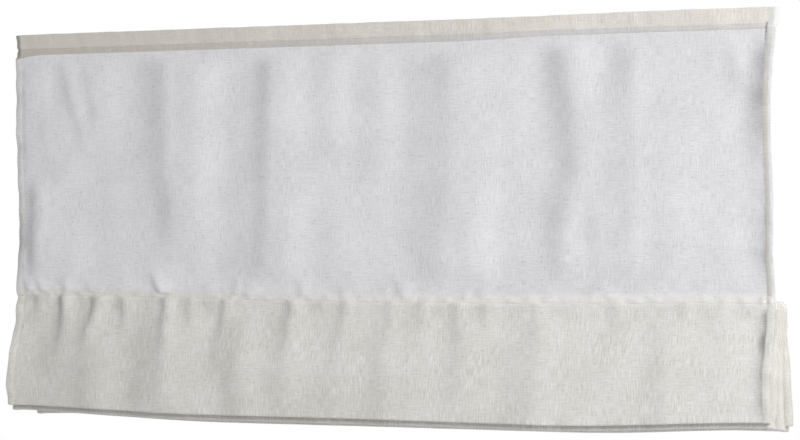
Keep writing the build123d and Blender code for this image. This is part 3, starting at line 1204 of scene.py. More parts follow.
    def drop(self, finishes: Finishes) -> None:
        """The flat drop between the header and the first rod pocket, with its soft upright ripples.

        Args:
            finishes: The cloth and the thread.
        """
        across = self.columns(self.fine)
        foot = self.rods[0].z + self.band / 2.0
        length = self.header_foot - foot
        near = np.linspace(0.0, 0.02, 9)[:-1]
        middle = np.linspace(0.02, length - 0.034, round((length - 0.054) / 0.0032))[:-1]
        along = np.concatenate([near, middle, np.linspace(length - 0.034, length, 20)])
        a, s = np.meshgrid(across, along)
        x, z = a - self.half, self.header_foot - s
        away = z - foot
        lift = self.drop_swell * sum(ripple.lift(x, z) for ripple in self.drop_ripples)
        lift += self.drop_mild * self.mild.at(x, z) + self.edge_flutter(x, z) + self.gutter(x, z)
        lift += sum(crease.lift(x, z) for crease in self.drop_creases)
        lift *= self.drop_start.at(s) * self.drop_end.at(away)
        lift += sum(pucker.lift(x, away) for pucker in self.above_seam) + self.slit(x, z)
        points = np.stack([x + self.pull(x, z), self.depth - lift, z], -1)
        points[..., 2] += self.seam_waver * self.seam_line.at(x) * self.drop_foot.at(away)
        points[..., 2] += self.seam_shift(x, 0.0) * (1.0 - self.drop_shifted.at(away))
        points[..., 2] += (self.foot_rise(x) + self.foot_flare(x)) * (1.0 - self.drop_drawn.at(s))
        # Painted shade on the drop's right hem, fading in below the header.
        marks = self.hem_tint_and_shade(a, 0.85, 0.0) * np.where(x > 0.0, 0.15 + 0.85 * self.drop_hem_shaded.at(s), 1.0)
        doubled = 0.9 * (1.0 - self.drop_doubled.at(away))
        mesh = ClothMesh(points, across, along, self.body(a), doubled, marks, (0, -1))
        self.sew_sides(mesh, across)
        piece = mesh.build("upper_drop", finishes)
        joint = next(j for j in frame["joints"] if j["name"] == "raise")
        keep = 1.0 - joint["range_m"][1] / length
        self.finish(piece, "headrail", (self.width + self.drop_ease, length), Held.HUNG, ["header"])
        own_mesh(piece)

    def fold_depth(self, k: int) -> float:
        """Depth of fold k's front layer near its bottom."""
        return self.depth - self.bulge + k * self.fold_gap

    def fold_foot(self, k: int) -> float:
        """Height of fold k's bottom before it sags."""
        return self.rods[k].z - (self.flap_hang if k == self.last else self.fold_hang)

    def roll(self, k: int, way: float) -> Grid:
        """Side view of a quarter of rod k's roll, from its top to its room side (way -1) or wall side (way 1)."""
        angles = np.linspace(0.0, QUARTER, 5)
        crest = self.rods[k].z - self.roll_drop
        depths = self.rods[k].y + way * self.roll_half * np.sin(angles)
        return side_view(depths, crest - self.roll_half * (1.0 - np.cos(angles)))

    def lean(self, top: float, foot: float, z: Grid, k: int) -> Grid:
        """Side view of a layer that leans from its rod's roll to its hanging depth.

        Args:
            top: Depth at the rod.
            foot: Depth near the bottom.
            z: Heights.
            k: The rod, counted from the front.

        Returns:
            The depth and height at each height.
        """
        start, end = (self.rods[k].z - share * self.fold_hang for share in (self.lean_start, self.lean_end))
        return side_view(top + (foot - top) * smooth((start - z) / (start - end)), z)

    def turn(self, k: int) -> Grid:
        """Side view of the half turn at fold k's bottom, from its front to its back."""
        angles = np.linspace(0.0, math.pi, 15)[1:]
        ahead, below = np.cos(angles), np.abs(np.sin(angles))
        y = self.fold_depth(k) + self.fold_half * (1.0 - np.sign(ahead) * np.abs(ahead) ** self.turn_power)
        return side_view(y, self.fold_foot(k) + self.fold_half * (1.0 - below**self.turn_power))

    def settle(self, profile: Grid, across: Grid, rod: int, fold: int, strength: float) -> Grid:
        """Spread a layer's side view across the width, with its ripples, sag and sideways slip.

        Args:
            profile: Depths and heights down the layer.
            across: Columns.
            rod: The rod that the layer leaves or meets.
            fold: The fold whose bottom it shares.
            strength: Share of the front's ripples that it follows.

        Returns:
            Points of the layer.
        """
        shape = (len(profile), len(across))
        x = np.broadcast_to(across, shape) - self.half
        y, z = (np.broadcast_to(profile[:, [axis]], shape).copy() for axis in (0, 1))
        rod_z, foot = self.rods[rod].z, self.fold_foot(fold)
        hung = rod_z - self.sag_start
        low = smooth((hung - z) / (hung - foot - self.sag_end))
        free = smooth((rod_z - self.ripple_start - z) / self.ripple_run)
        if fold == self.last:
            free = free * smooth((z - foot - self.flap_stiff) / self.ripple_run)
            low = smooth((hung - z) / self.flap_ease)
        lift = self.fold_swell * sum(ripple.lift(x, z) for ripple in self.fold_ripples) * strength
        lift += self.fold_mild * self.mild.at(x + 0.013 * fold, z)
        y -= (lift + self.fold_flutter * self.edge_flutter(x, z + 0.05 * rod + 0.021 * fold)) * free
        left, right = self.slips[fold]
        share = x / self.width + 0.5
        slip = self.rods[rod].x * (1.0 - low) + (left * (1.0 - share) + right * share) * low
        wave = self.fans[2 * fold].at(z) * unit(x / self.half) ** 6
        wave += self.fans[2 * fold + 1].at(z) * unit(-x / self.half) ** 6
        tilt = self.sag_tilts[fold]
        dip = self.sag_left.at(x) * self.sag_right.at(x)
        dip = dip * (1.0 - tilt + tilt * self.sag_tilt.at(x))
        corner = self.sag_corner.at(x) if fold > 1 else 1.0
        z -= (self.sags[fold] * dip + self.drops[fold] * corner) * low
        if fold == self.last - 1:
            z += self.corner_lift * unit(x / self.half) ** 8 * low
        return np.stack([x + slip + self.waves[fold] * wave * free, y, z], -1)

    def layer(
        self,
        name: str,
        points: Grid,
        across: Grid,
        doubled: Grid | None = None,
        rows: Sequence[int] = (),
        square: Sequence[int] = (),
    ) -> tuple[Piece, tuple[float, float]]:
        """Make one layer of the stack.

        Args:
            name: The piece's name.
            points: Its points.
            across: Its columns.
            doubled: Extra doubled places, row by row.
            rows: Rows to stitch across.
            square: Rows whose rim meets the next stretch edge to edge.

        Returns:
            The layer, with its width and length before folding.
        """
        along = lengths_along(points[:, points.shape[1] // 2])
        a = np.broadcast_to(across, points.shape[:2])
        marks = np.zeros(a.shape) if doubled is None else np.broadcast_to(doubled[:, None], a.shape)
        # Painted shade along the layers' right hems, strongest on their outer edges where the stacked layers shade
        # each other.
        mesh = ClothMesh(points, across, along, self.body(a), marks, self.hem_tint_and_shade(a, 0.4, 0.8), square)
        self.sew_sides(mesh, across)
        for row in rows:
            self.sew_row(mesh, row, self.stitch_columns(across)[0])
        return mesh.build(name, self.stack), (self.width, float(along[-1]))

    def first_fold(self) -> None:
        """The first rod pocket's stitched band and the front of the front fold."""
        across = self.columns(self.fine)
        top = self.rods[0].z + self.band / 2.0
        band = np.array(self.band_rows) * 0.001
        foot = self.fold_foot(0) + self.fold_half
        upper = np.linspace(top - self.band, top - self.band - 0.05, 26)[1:]
        z = np.concatenate([top - band, upper, np.linspace(upper[-1], foot, 26)[1:]])
        profile = np.concatenate([self.lean(self.depth, self.fold_depth(0), z, 0), self.turn(0)])
        points = self.settle(profile, across, 0, 0, 1.0)
        x = np.broadcast_to(across - self.half, points.shape[:2])
        heights = np.broadcast_to(profile[:, 1:], points.shape[:2])
        away = top - self.band - heights
        share = unit((top - heights) / self.band)
        lift = (1.0 - 0.4 * self.gathers_right.at(x)) * sum(pucker.lift(x, away) for pucker in self.below_seam)
        lift += sum(pucker.lift(x, heights - top) for pucker in self.above_seam)
        swell = self.band_swell + self.band_crinkle * self.crinkle.at(x, heights)
        lift += swell * np.sin(math.pi * share) ** 1.4
        lift -= self.band_groove * bell((share - self.groove_place) / self.groove_half)
        beside = unit((self.hem + 0.0140 - self.half + x) / 0.0145) ** 2.4
        beside = beside * (1.0 - 0.6 * self.stand_fade.at(away)) * (0.85 + 0.25 * self.fans[0].at(heights * 2.0))
        curl = unit(1.0 - (x + self.half) / 0.042) ** 1.5 * (0.85 + 0.2 * self.fans[1].at(heights * 2.0))
        lift += (self.hem_stand * beside + self.left_curl * curl) * self.under_band.at(away)
        points[..., 1] -= lift * smooth((heights - foot) / 0.02)
        points[..., 2] += self.seam_waver * self.seam_line.at(x) * self.seam_waved.at(away)
        points[..., 2] += self.seam_shift(x, share) * (1.0 - self.seam_shifted.at(away))
        drawn = smooth((away + self.band) / self.band) * (1.0 - self.left_drawn.at(away))
        points[..., 0] += self.left_draw * unit(-x / self.half) ** 6 * drawn
        doubled = np.where(np.arange(len(profile)) < len(band), 0.9, 0.0)
        piece, flat = self.layer("fold_1_front", points, across, doubled, [len(band) - 2], (0,))
        self.finish(piece, "fold_1", flat, Held.FOLDED, ["rod_1"])

    def fold_front(self, k: int) -> None:
        """The front layer of a fold behind the first one, from the top of its rod's roll to its bottom.

        Args:
            k: The fold, counted from 0 at the front.
        """
        across = self.columns(self.coarse)
        roll = self.roll(k, 1.0)
        z = np.linspace(roll[-1, 1], self.fold_foot(k) + self.fold_half, 34)[1:]
        hang = self.lean(self.rods[k].y + self.roll_half, self.fold_depth(k), z, k)
        points = self.settle(np.concatenate([roll, hang, self.turn(k)]), across, k, k, 1.0 - self.fold_loss * k)
        piece, flat = self.layer(f"fold_{k + 1}_front", points, across)
        self.finish(piece, f"fold_{k + 1}", flat, Held.FOLDED, [f"rod_{k + 1}"])

    def fold_back(self, k: int) -> None:
        """The back layer of a fold, which rises from its bottom to the roll under the next rod.

        Args:
            k: The fold, counted from 0 at the front.
        """
        across = self.columns(self.coarse if k else self.fine)
        rod, foot = self.rods[k + 1], self.fold_foot(k) + self.fold_half
        roll = self.roll(k + 1, -1.0)[::-1]
        z = np.linspace(foot, roll[0, 1], 34)[:-1]
        hang = self.lean(rod.y - self.roll_half, self.fold_depth(k) + 2.0 * self.fold_half, z, k + 1)
        points = self.settle(np.concatenate([hang, roll]), across, k + 1, k, 1.0 - self.fold_loss * k)
        piece, flat = self.layer(f"fold_{k + 1}_back", points, across)
        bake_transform(piece)
        self.finish(piece, "", flat, Held.FOLDED, [f"rod_{k + 2}"])

    def flap(self) -> None:
        """The last flap, turned up behind itself around the weight bar."""
        k = self.last
        across = self.columns(self.coarse)
        front, foot, half = self.fold_depth(k), self.fold_foot(k), self.bar_pocket / 2.0
        roll = self.roll(k, 1.0)
        z = np.linspace(roll[-1, 1], foot + self.bottom_hem, 26)[1:]
        z = np.concatenate([z, np.linspace(z[-1], foot + half, 9)[1:]])
        hang = np.concatenate([roll, self.lean(self.rods[k].y + self.roll_half, front, z, k)])
        bend = np.linspace(0.0, math.pi, 11)[1:]
        under = side_view(front + half * (1.0 - np.cos(bend)), foot + half * (1.0 - np.sin(bend)))
        behind, sewn = front + self.bar_pocket, front + self.sewn_gap
        depths = (behind, behind, behind, behind - 0.0016, sewn + 0.0006, sewn, sewn)
        rises = (0.010, 0.018, self.hem_wall, self.hem_wall + 0.0012, 0.0278, 0.029, self.bottom_hem)
        profile = np.concatenate([hang, under, side_view(np.array(depths), foot + np.array(rises))])
        points = self.settle(profile, across, k, k, 0.5)
        hemmed = len(hang) - 8
        doubled = np.where(np.arange(len(profile)) < hemmed, 0.0, 0.8)
        piece, flat = self.layer("flap", points, across, doubled, [hemmed, len(profile) - 2])
        self.finish(piece, f"fold_{k + 1}", flat, Held.FOLDED, [f"rod_{k + 1}", "weight_bar"])

    def pocket(self, k: int) -> None:
        """The sewn pocket that holds rod k: behind the band first, over the roll's top after that.

        Args:
            k: The rod, counted from 0 at the front.
        """
        rod = self.rods[k]
        turns = np.linspace(0.0, math.pi, 15)
        if k == 0:
            sewn, reach = self.depth + 0.0009, rod.y + 0.0031
            edge = self.band / 2.0 - 0.0004
            half = edge - 0.0016
            z = half * np.cos(turns)
            y = sewn + (reach - sewn) * (1.0 - (z / half) ** 2) ** 0.6
            ends = np.array([(sewn, edge)]), np.array([(sewn, -edge)])
            inset = self.hem + 0.0010
        else:
            half = self.pocket_half
            z = half * np.sin(turns) + 0.0001
            y = rod.y - half * np.cos(turns)
            legs = np.array(self.pocket_legs)
            ends = side_view(np.full(3, rod.y - half), legs), side_view(np.full(3, rod.y + half), legs[::-1])
            inset = 0.0008
        profile = np.concatenate([ends[0], side_view(y, z), ends[1]])
        across = np.linspace(inset, self.width - inset, 150)
        a = np.broadcast_to(across, (len(profile), len(across)))
        depth, height = (np.broadcast_to(profile[:, [axis]], a.shape) for axis in (0, 1))
        empty = self.empties[k] * unit(1.0 - self.side(a) / self.empty_reach)
        points = np.stack([a - self.half + rod.x, depth, height + rod.z - empty], -1)
        along = lengths_along(profile)
        thickness, doubled, hem = (np.full(a.shape, value) for value in (self.thickness, 0.5, 0.0))
        mesh = ClothMesh(points if k else points[::-1], across, along, thickness, doubled, hem)
        for row in (1, len(profile) - 2):
            self.sew_row(mesh, row, 2, k > 0 and row == 1)
        piece = mesh.build(f"rod_pocket_{k + 1}", self.stack)
        flat = (self.width - 2.0 * inset, float(along[-1]))
        self.finish(piece, f"fold_{k + 1}", flat, Held.FOLDED, [f"rod_{k + 1}"])

    def build(self) -> None:
        """Make every stretch, from the header down."""
        thread = ThreadFinish("sewing_thread", (224, 221, 213), (192, 188, 177)).make()
        # Painted light: the three linens are one cloth. The drop's cool colour stands in for light from behind
        # shining through its single layer, the header's beige and the stack's cream for the tape, batten and folded
        # layers behind them that keep that light out.
        beige = LinenFinish(
            name="header_linen",
            light=(233, 229, 225),
            dark=(204, 199, 192),
            doubled=(188, 181, 175),
            doubled_right=(189, 189, 192),
            hem=(208, 208, 209),
            across=0.6,
            slubs=0.15,
            painted_side_light=-0.6,
        ).make()
        cool = LinenFinish(
            name="drop_linen",
            light=(224, 224, 228),
            dark=(201, 201, 204),
            doubled=(211, 210, 206),
            doubled_right=(221, 221, 220),
            hem=(184, 182, 173),
            across=1.0,
            slubs=0.2,
            painted_side_light=0.28,
        ).make()
        cream = LinenFinish(
            name="stack_linen",
            light=(228, 227, 225),
            dark=(200, 198, 193),
            doubled=(213, 212, 208),
            doubled_right=(219, 219, 218),
            hem=(207, 204, 196),
            across=0.8,
            slubs=0.2,
            painted_side_light=-0.25,
            upright=1.5,
            fuzz=0.5,
        ).make()
        self.header((beige, thread))
        self.drop((cool, thread))
        self.stack = (cream, thread)
        self.first_fold()
        for k in range(self.last):
            if k:
                self.fold_front(k)
            self.fold_back(k)
        self.flap()
        for k in range(self.last + 1):
            self.pocket(k)


class Bench:
    """Small helpers for modelling with operators."""

    NEAR = 1e-5
    UPWARDS = 0.9
    ORIGIN = (0.0, 0.0, 0.0)

    @staticmethod
    def select(*pieces: Piece) -> None:
        """Leave edit mode and select only these pieces, the first one active."""
        if bpy.context.object and bpy.context.object.mode != "OBJECT":
            bpy.ops.object.mode_set(mode="OBJECT")
        bpy.ops.object.select_all(action="DESELECT")
        for piece in pieces:
            piece.select_set(True)
        if pieces:
            bpy.context.view_layer.objects.active = pieces[0]

    @staticmethod
    def settle(piece: Piece, angle: float = 40.0) -> Piece:
        """Put a piece's place into its mesh, shade it smooth up to an angle and return it."""
        Bench.select(piece)
        bpy.ops.object.transform_apply(location=True, rotation=True, scale=True)
        bpy.ops.object.shade_smooth_by_angle(angle=math.radians(angle))
        return piece

    @staticmethod
    def torus(radius: float, wire: float, segments: tuple[int, int], turned: Spot, place: Spot = ORIGIN) -> Piece:
        """Add a settled ring.

        Args:
            radius: From its centre to the middle of its wire.
            wire: Half width of its wire.
            segments: Steps around the ring and around the wire.
            turned: Its turn about each axis.
            place: Its centre.

        Returns:
            The ring.
        """
        Bench.select()
        bpy.ops.mesh.primitive_torus_add(
            major_segments=segments[0],
            minor_segments=segments[1],
            major_radius=radius,
            minor_radius=wire,
            rotation=turned,
            location=place,
        )
        return Bench.settle(bpy.context.object)

    @staticmethod
    def cylinder(radius: float, depth: float, sides: int, place: Spot, turned: Spot = ORIGIN) -> Piece:
        """Add a cylinder.

        Args:
            radius: Its radius.
            depth: Its length.
            sides: Steps around it.
            place: Its centre.
            turned: Its turn about each axis.

        Returns:
            The cylinder, not settled yet.
        """
        Bench.select()
        bpy.ops.mesh.primitive_cylinder_add(
            vertices=sides, radius=radius, depth=depth, location=place, rotation=turned
        )
        return bpy.context.object

    @staticmethod
    def pick(piece: Piece, chosen: Iterable[int], kind: str = "FACE") -> None:
        """Select parts of a mesh by index and enter edit mode.

        Args:
            piece: The object.
            chosen: Indices of its faces, edges or vertices.
            kind: FACE, EDGE or VERT.
        """
        bpy.context.view_layer.objects.active = piece
        bpy.ops.object.mode_set(mode="EDIT")
        bpy.ops.mesh.select_mode(type=kind)
        bpy.ops.mesh.select_all(action="DESELECT")
        bpy.ops.object.mode_set(mode="OBJECT")
        parts = {"FACE": piece.data.polygons, "EDGE": piece.data.edges, "VERT": piece.data.vertices}[kind]
        for index in chosen:
            parts[index].select = True
        bpy.ops.object.mode_set(mode="EDIT")

    @staticmethod
    def pick_top(piece: Piece) -> None:
        """Pick the faces that look up."""
        Bench.pick(piece, [face.index for face in piece.data.polygons if face.normal.z > Bench.UPWARDS])

    @staticmethod
    def extrude(rise: float) -> None:
        """Draw the picked faces up."""
        bpy.ops.mesh.extrude_region_move(TRANSFORM_OT_translate={"value": (0.0, 0.0, rise)})

    @staticmethod
    def widen(share: float) -> None:
        """Make the picked faces wider or narrower."""
        bpy.ops.transform.resize(value=(share, share, 1.0))

    @staticmethod
    def round_rim(piece: Piece, axis: int, at: float, radius: float, segments: int) -> None:
        """Round the edges that lie at one place along an axis.

        Args:
            piece: The object.
            axis: The axis, 0 to 2.
            at: The place along it.
            radius: The rounding.
            segments: Steps of the rounding.
        """
        near = [abs(vertex.co[axis] - at) < Bench.NEAR for vertex in piece.data.vertices]
        rim = [edge.index for edge in piece.data.edges if all(near[vertex] for vertex in edge.vertices)]
        Bench.pick(piece, rim, "EDGE")
        bpy.ops.mesh.bevel(offset=radius, segments=segments)
        bpy.ops.object.mode_set(mode="OBJECT")

    @staticmethod
    def join(pieces: Sequence[Piece], name: str) -> Piece:
        """Join pieces into the first one and name it."""
        Bench.select(*pieces)
        if len(pieces) > 1:
            bpy.ops.object.join()
        pieces[0].name = pieces[0].data.name = name
        return pieces[0]

    @staticmethod
    def copy(piece: Piece, shift: Sequence[float]) -> Piece:
        """Copy a piece with its own mesh, moved by shift in its mesh."""
        twin = piece.copy()
        twin.data = piece.data.copy()
        twin.data.transform(Matrix.Translation(Vector(shift)))
        bpy.context.scene.collection.objects.link(twin)
        return twin

    @staticmethod
    def dress(piece: Piece, finish: Material) -> Piece:
        """Give a piece its finish in place of those it has, and return the piece."""
        piece.data.materials.clear()
        piece.data.materials.append(finish)
        return piece


@dataclass
class LiftRings:
    """Moulded rings sewn to the tops of the rod pockets."""

    radius: float = 0.005
    wire: float = 0.001
    slimmed: float = 0.95
    foot_depth: float = 1.12
    thread_radius: float = 0.00022
    thread_reach: float = 1.12
    thread_gap: float = 2.1
    thread_skew: float = 0.12
    thread_turns: int = 4

    def model(self, ring: Material, thread: Material) -> Piece:
        """Model one ring about the origin, with its flattened foot and the thread that sews it on.

        Args:
            ring: The ring's finish.
            thread: The thread's finish.

        Returns:
            The model.
        """
        hoop = Bench.torus(self.radius, self.wire * self.slimmed, (36, 12), (QUARTER, 0.0, 0.0))
        foot = [v.index for v in hoop.data.vertices if v.co.z < -self.radius - 0.3 * self.wire]
        Bench.pick(hoop, foot, "VERT")
        bpy.ops.transform.resize(value=(1.0, self.foot_depth, 1.0), center_override=(0.0, 0.0, -self.radius))
        bpy.ops.object.mode_set(mode="OBJECT")
        parts = [Bench.dress(hoop, ring)]
        for turn in range(self.thread_turns):
            aside = (turn - (self.thread_turns - 1) / 2.0) * self.thread_gap * self.thread_radius
            turned = (0.0, QUARTER + self.thread_skew * (turn - 1), 0.0)
            place = (aside, 0.0, -self.radius + 0.06 * self.wire)
            loop = Bench.torus(self.wire * self.thread_reach, self.thread_radius, (14, 5), turned, place)
            parts.append(Bench.dress(loop, thread))
        return Bench.join(parts, "ring_model")

    def build(self, count: int) -> None:
        """Set three rings on each pocket, where the frame has them.

        Args:
            count: How many pockets there are.
        """
        ring = MouldedFinish("moulded_ring", (236, 236, 232), (228, 226, 216), 900.0, 0.28).make()
        thread = ThreadFinish("ring_thread", (214, 212, 204), (186, 182, 170)).make()
        model = self.model(ring, thread)
        for k in range(1, count + 1):
            low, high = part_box(f"rings_{k}")
            middle = (low + high) / 2.0
            ends = (low.x + self.radius + self.wire, middle.x, high.x - self.radius - self.wire)
            piece = Bench.join([Bench.copy(model, (x, middle.y, middle.z)) for x in ends], f"lift_rings_{k}")
            stand_for(piece, f"rings_{k}", f"fold_{k}")
        bpy.data.objects.remove(model)


@dataclass
class ScrewEyes:
    """Zinc-plated screw eyes under the batten."""

    radius: float = 0.005
    wire: float = 0.0012
    opening_start: float = 0.12
    opening: float = 0.35
    neck: float = 0.0022
    shank: float = 0.0112
    point: float = 0.0008

    def model(self, zinc: Material) -> Piece:
        """Model one eye about its ring's centre, with the wire's free end tucked against the shank.

        Args:
            zinc: Its finish.

        Returns:
            The model.
        """
        hoop = Bench.torus(self.radius, self.wire, (40, 12), (0.0, QUARTER, 0.0))
        angles = [math.atan2(face.center.y, face.center.z) - self.opening_start for face in hoop.data.polygons]
        Bench.pick(hoop, [index for index, angle in enumerate(angles) if 0.0 < angle < self.opening])
        bpy.ops.mesh.delete(type="FACE")
        bpy.ops.mesh.select_mode(type="EDGE")
        bpy.ops.mesh.select_non_manifold()
        bpy.ops.mesh.edge_face_add()
        bpy.ops.object.mode_set(mode="OBJECT")
        neck = Bench.cylinder(self.wire, self.neck, 20, (0.0, 0.0, self.radius))
        Bench.pick_top(neck)
        Bench.widen(1.25)
        for rise, share in ((self.shank, 0.92), (self.point, 0.3)):
            Bench.extrude(rise)
            Bench.widen(share)
        bpy.ops.object.mode_set(mode="OBJECT")
        return Bench.dress(Bench.join([hoop, Bench.settle(neck)], "eye_model"), zinc)

    def build(self, zinc: Material) -> None:
        """Set an eye where the frame has one.

        Args:
            zinc: Their finish.
        """
        model = self.model(zinc)
        for place in ("left", "centre", "right", "lifting_side"):
            low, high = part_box(f"screw_eye_{place}")
            middle = (low + high) / 2.0
            piece = Bench.copy(model, (middle.x, middle.y, low.z + self.radius + self.wire))
            piece.name = piece.data.name = f"wire_eye_{place}"
            stand_for(piece, f"screw_eye_{place}", "headrail")
        bpy.data.objects.remove(model)


@dataclass
class BracketScrews:
    """Pan-head screws that hold the brackets under the batten."""

    head: float = 0.004
    height: float = 0.002
    rounding: float = 0.0012
    shank: float = 0.00172
    length: float = 0.0158
    point: float = 0.003
    slot_length: float = 0.0042
    slot_width: float = 0.0009
    slot_depth: float = 0.0011
    slot_turn: float = 0.5

    def model(self, zinc: Material) -> Piece:
        """Model one screw, its head's seat at the origin and its shank upwards.

        Args:
            zinc: Its finish.

        Returns:
            The model.
        """
        screw = Bench.settle(Bench.cylinder(self.head, self.height, 32, (0.0, 0.0, -self.height / 2.0)))
        Bench.pick_top(screw)
        bpy.ops.mesh.inset(thickness=self.head - self.shank)
        Bench.extrude(self.length - self.point)
        Bench.extrude(self.point)
        Bench.widen(0.15)
        bpy.ops.object.mode_set(mode="OBJECT")
        Bench.round_rim(screw, 2, -self.height, self.rounding, 5)
        for turn in (0.0, QUARTER):
            Bench.select()
            turned = (0.0, 0.0, turn + self.slot_turn)
            bpy.ops.mesh.primitive_cube_add(size=1.0, location=(0.0, 0.0, -self.height), rotation=turned)
            cutter = bpy.context.object
            cutter.scale = (self.slot_length, self.slot_width, 2.0 * self.slot_depth)
            Bench.settle(cutter)
            Bench.select(screw)
            cut = screw.modifiers.new("recess", "BOOLEAN")
            cut.object, cut.operation, cut.solver = cutter, "DIFFERENCE", "EXACT"
            bpy.ops.object.modifier_apply(modifier=cut.name)
            bpy.data.objects.remove(cutter)
        return Bench.dress(Bench.settle(screw, 35.0), zinc)

    def build(self, zinc: Material) -> None:
        """Set the four screws where the frame has them.

        Args:
            zinc: Their finish.
        """
        low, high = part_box("bracket_screws")
        model = self.model(zinc)
        rows, columns = ((near + self.head, far - self.head) for near, far in ((low.y, high.y), (low.x, high.x)))
        places = [(x, y, low.z + self.height) for x in columns for y in rows]
        piece = Bench.join([Bench.copy(model, place) for place in places], "pan_head_screws")
        bpy.data.objects.remove(model)
        stand_for(piece, "bracket_screws", "headrail")


@dataclass
class RodBeads:
    """Rounded beads that cap the ends of the rods."""

    radius: float = 0.00235
    rounding: float = 0.0012

    def bead(self, near: float, far: float, middle: Vector, plastic: Material) -> Piece:
        """Model a bead on one rod end.

        Args:
            near: Where the rod ends.
            far: Where the bead ends.
            middle: The rod's middle.
            plastic: The bead's finish.

        Returns:
            The bead.
        """
        place = ((near + far) / 2.0, middle.y, middle.z)
        bead = Bench.settle(Bench.cylinder(self.radius, abs(far - near), 20, place, (0.0, QUARTER, 0.0)))
        Bench.round_rim(bead, 0, far, self.rounding, 4)
        return Bench.dress(Bench.settle(bead), plastic)

    def build(self, plastic: Material, count: int) -> None:
        """Set a bead on each rod end, where the frame has its cap.

        Args:
            plastic: Their finish.
            count: How many rods there are.
        """
        for k in range(1, count + 1):
            outer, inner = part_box(f"rod_caps_{k}"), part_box(f"rod_{k}")
            middle = (outer[0] + outer[1]) / 2.0
            beads = [self.bead(near.x, far.x, middle, plastic) for near, far in zip(inner, outer)]
            stand_for(Bench.join(beads, f"rod_beads_{k}"), f"rod_caps_{k}", f"fold_{k}")


@dataclass
class Fittings:
    """The fittings behind the cloth: those made here, and the frame's own pieces with their finishes."""

    rods: int = 5

    def build(self) -> None:
        """Make the small round fittings and dress the frame's pieces."""
        zinc = ZincFinish("zinc_plate", (206, 208, 210), (168, 171, 176)).make()
        cap = MouldedFinish("moulded_cap", (228, 228, 226), (220, 218, 210), 700.0, 0.4).make()
        LiftRings().build(self.rods)
        ScrewEyes().build(zinc)
        BracketScrews().build(zinc)
        RodBeads().build(cap, self.rods)
        rod = MouldedFinish("glass_fibre_rod", (233, 233, 228), (222, 221, 212), 1400.0, 0.35).make()
        finishes = {
            "head_batten": PineFinish("planed_pine", (226, 193, 146), (196, 150, 98)).make(),
            "hook_tape": TapeFinish("hooked_weave", (206, 198, 184), (180, 170, 154)).make(),
            "loop_tape": TapeFinish("looped_weave", (216, 208, 196), (194, 184, 170)).make(),
            "angle_bracket_left": zinc,
            "angle_bracket_right": zinc,
            "weight_bar": MouldedFinish("powder_coat", (232, 232, 230), (224, 224, 221), 1100.0, 0.45).make(),
            "weight_bar_caps": cap,
        }
        finishes |= {f"rod_{k}": rod for k in range(1, self.rods + 1)}
        for name, finish in finishes.items():
            Bench.dress(frame["nodes"][name], finish)
            log.info("%s: dressed with %s", name, finish.name)


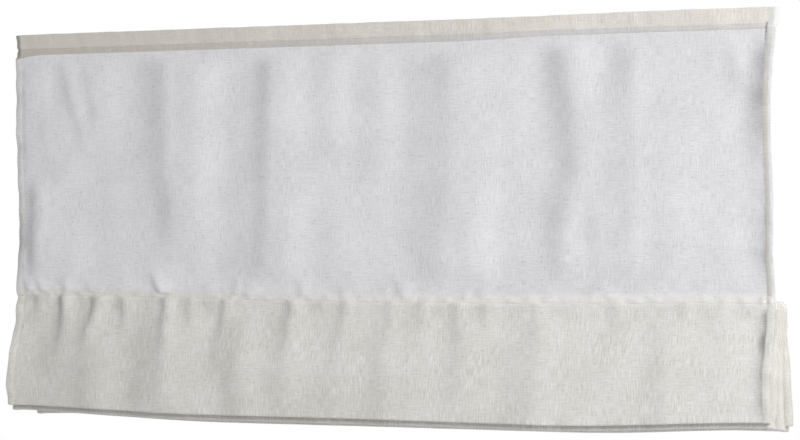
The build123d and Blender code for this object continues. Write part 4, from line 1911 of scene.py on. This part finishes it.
@dataclass
class Studio:
    """White surroundings, soft light from the right, a pale floor and the camera."""

    camera_place: Spot = (1.0806, -2.8170, -0.2416)
    camera_yaw: float = 20.687
    camera_pitch: float = 0.783
    camera_roll: float = 0.006
    lens: float = 108.53
    sensor: float = 36.0
    sight: tuple[float, float] = (0.05, 120.0)
    floor_z: float = -1.66
    floor_size: float = 60.0
    floor_colour: Colour = (236, 236, 235)
    floor_glow: float = 0.78
    floor_reach: tuple[float, float] = (1.5, 6.0)
    sky_tint: tuple[float, ...] = (1.0, 0.995, 0.985, 1.0)
    ambient: float = 0.32
    lamp_tint: Spot = (1.0, 0.995, 0.99)
    lamp_aim: Spot = (0.1, 0.0, -0.2)
    key_place: Spot = (3.25, -2.4, 1.15)
    key_size: float = 1.5
    key_power: float = 160.0
    back_place: Spot = (-2.6, 4.2, 0.8)
    back_size: float = 2.4
    back_power: float = 130.0

    def background(self) -> None:
        """Light the scene with a soft grey sky that the camera sees as white."""
        world = bpy.context.scene.world = bpy.data.worlds.new("studio")
        world.use_nodes = True
        world.node_tree.nodes.clear()
        nodes = Nodes(world.node_tree)
        sky = nodes.node("ShaderNodeBackground", None, {"Color": self.sky_tint, "Strength": self.ambient})
        white = nodes.node("ShaderNodeBackground", None, {"Color": WHITE, "Strength": 1.0})
        blend = nodes.node("ShaderNodeMixShader", None, {0: nodes.seen(), 1: sky, 2: white})
        nodes.node("ShaderNodeOutputWorld", None, {"Surface": blend})

    def floor(self) -> None:
        """Lay a plain pale floor below the lowered blind."""
        Bench.select()
        bpy.ops.mesh.primitive_plane_add(size=self.floor_size, location=(0.0, 0.0, self.floor_z))
        ground = Bench.settle(bpy.context.object)
        ground.name = "floor"
        shader = Shader("pale_floor", {"Roughness": 0.9, "Base Color": linear(*self.floor_colour)})
        place = shader.node("ShaderNodeTexCoord", None, None, "Object")
        flat = shader.stretch(place, (1.0, 1.0, 0.0))
        away = shader.node("ShaderNodeVectorMath", {"operation": "LENGTH"}, {0: flat}, "Value")
        glow = shader.node("ShaderNodeEmission", None, {"Color": WHITE, "Strength": 1.0})
        share = shader.seen() * (away.above(*self.floor_reach) * (1.0 - self.floor_glow) + self.floor_glow)
        plain = Value(shader, shader.principled.outputs[0])
        surface = shader.node("ShaderNodeMixShader", None, {0: share, 1: plain, 2: glow})
        shader.feed(shader.tree.nodes["Material Output"].inputs["Surface"], surface)
        Bench.dress(ground, shader.material)

    def lamp(self, name: str, place: Spot, size: float, power: float) -> None:
        """Hang a large soft lamp.

        Args:
            name: The lamp's name.
            place: Where it hangs.
            size: Its side.
            power: Its power in watts.
        """
        light = bpy.data.lights.new(name, "AREA")
        light.shape, light.size, light.energy, light.color = "SQUARE", size, power, self.lamp_tint
        lamp = bpy.data.objects.new(name, light)
        lamp.location = place
        lamp.rotation_euler = (Vector(self.lamp_aim) - Vector(place)).to_track_quat("-Z", "Y").to_euler()
        bpy.context.scene.collection.objects.link(lamp)

    def camera(self) -> None:
        """Place the camera where the photograph was taken from."""
        data = bpy.data.cameras.new("camera")
        data.lens, data.sensor_width, data.sensor_fit = self.lens, self.sensor, "HORIZONTAL"
        data.clip_start, data.clip_end = self.sight
        eye = bpy.data.objects.new("camera", data)
        eye.location = self.camera_place
        turns = ((self.camera_yaw, "Z"), (90.0 + self.camera_pitch, "X"), (-self.camera_roll, "Z"))
        yaw, tilt, roll = (Matrix.Rotation(math.radians(angle), 4, axis) for angle, axis in turns)
        eye.rotation_euler = (yaw @ tilt @ roll).to_euler()
        bpy.context.scene.collection.objects.link(eye)
        bpy.context.scene.camera = eye

    def build(self) -> None:
        """Set up everything around the blind."""
        bpy.context.scene.view_settings.view_transform = "Standard"
        self.background()
        self.floor()
        self.lamp("key", self.key_place, self.key_size, self.key_power)
        self.lamp("back", self.back_place, self.back_size, self.back_power)
        self.camera()


def main() -> None:
    """Build the blind's looks in order; each piece logs its face count as it is made."""
    logging.basicConfig(level=logging.INFO, format="%(message)s")
    Studio().build()
    Cloth().build()
    Fittings().build()


if __name__ == "__main__":
    main()
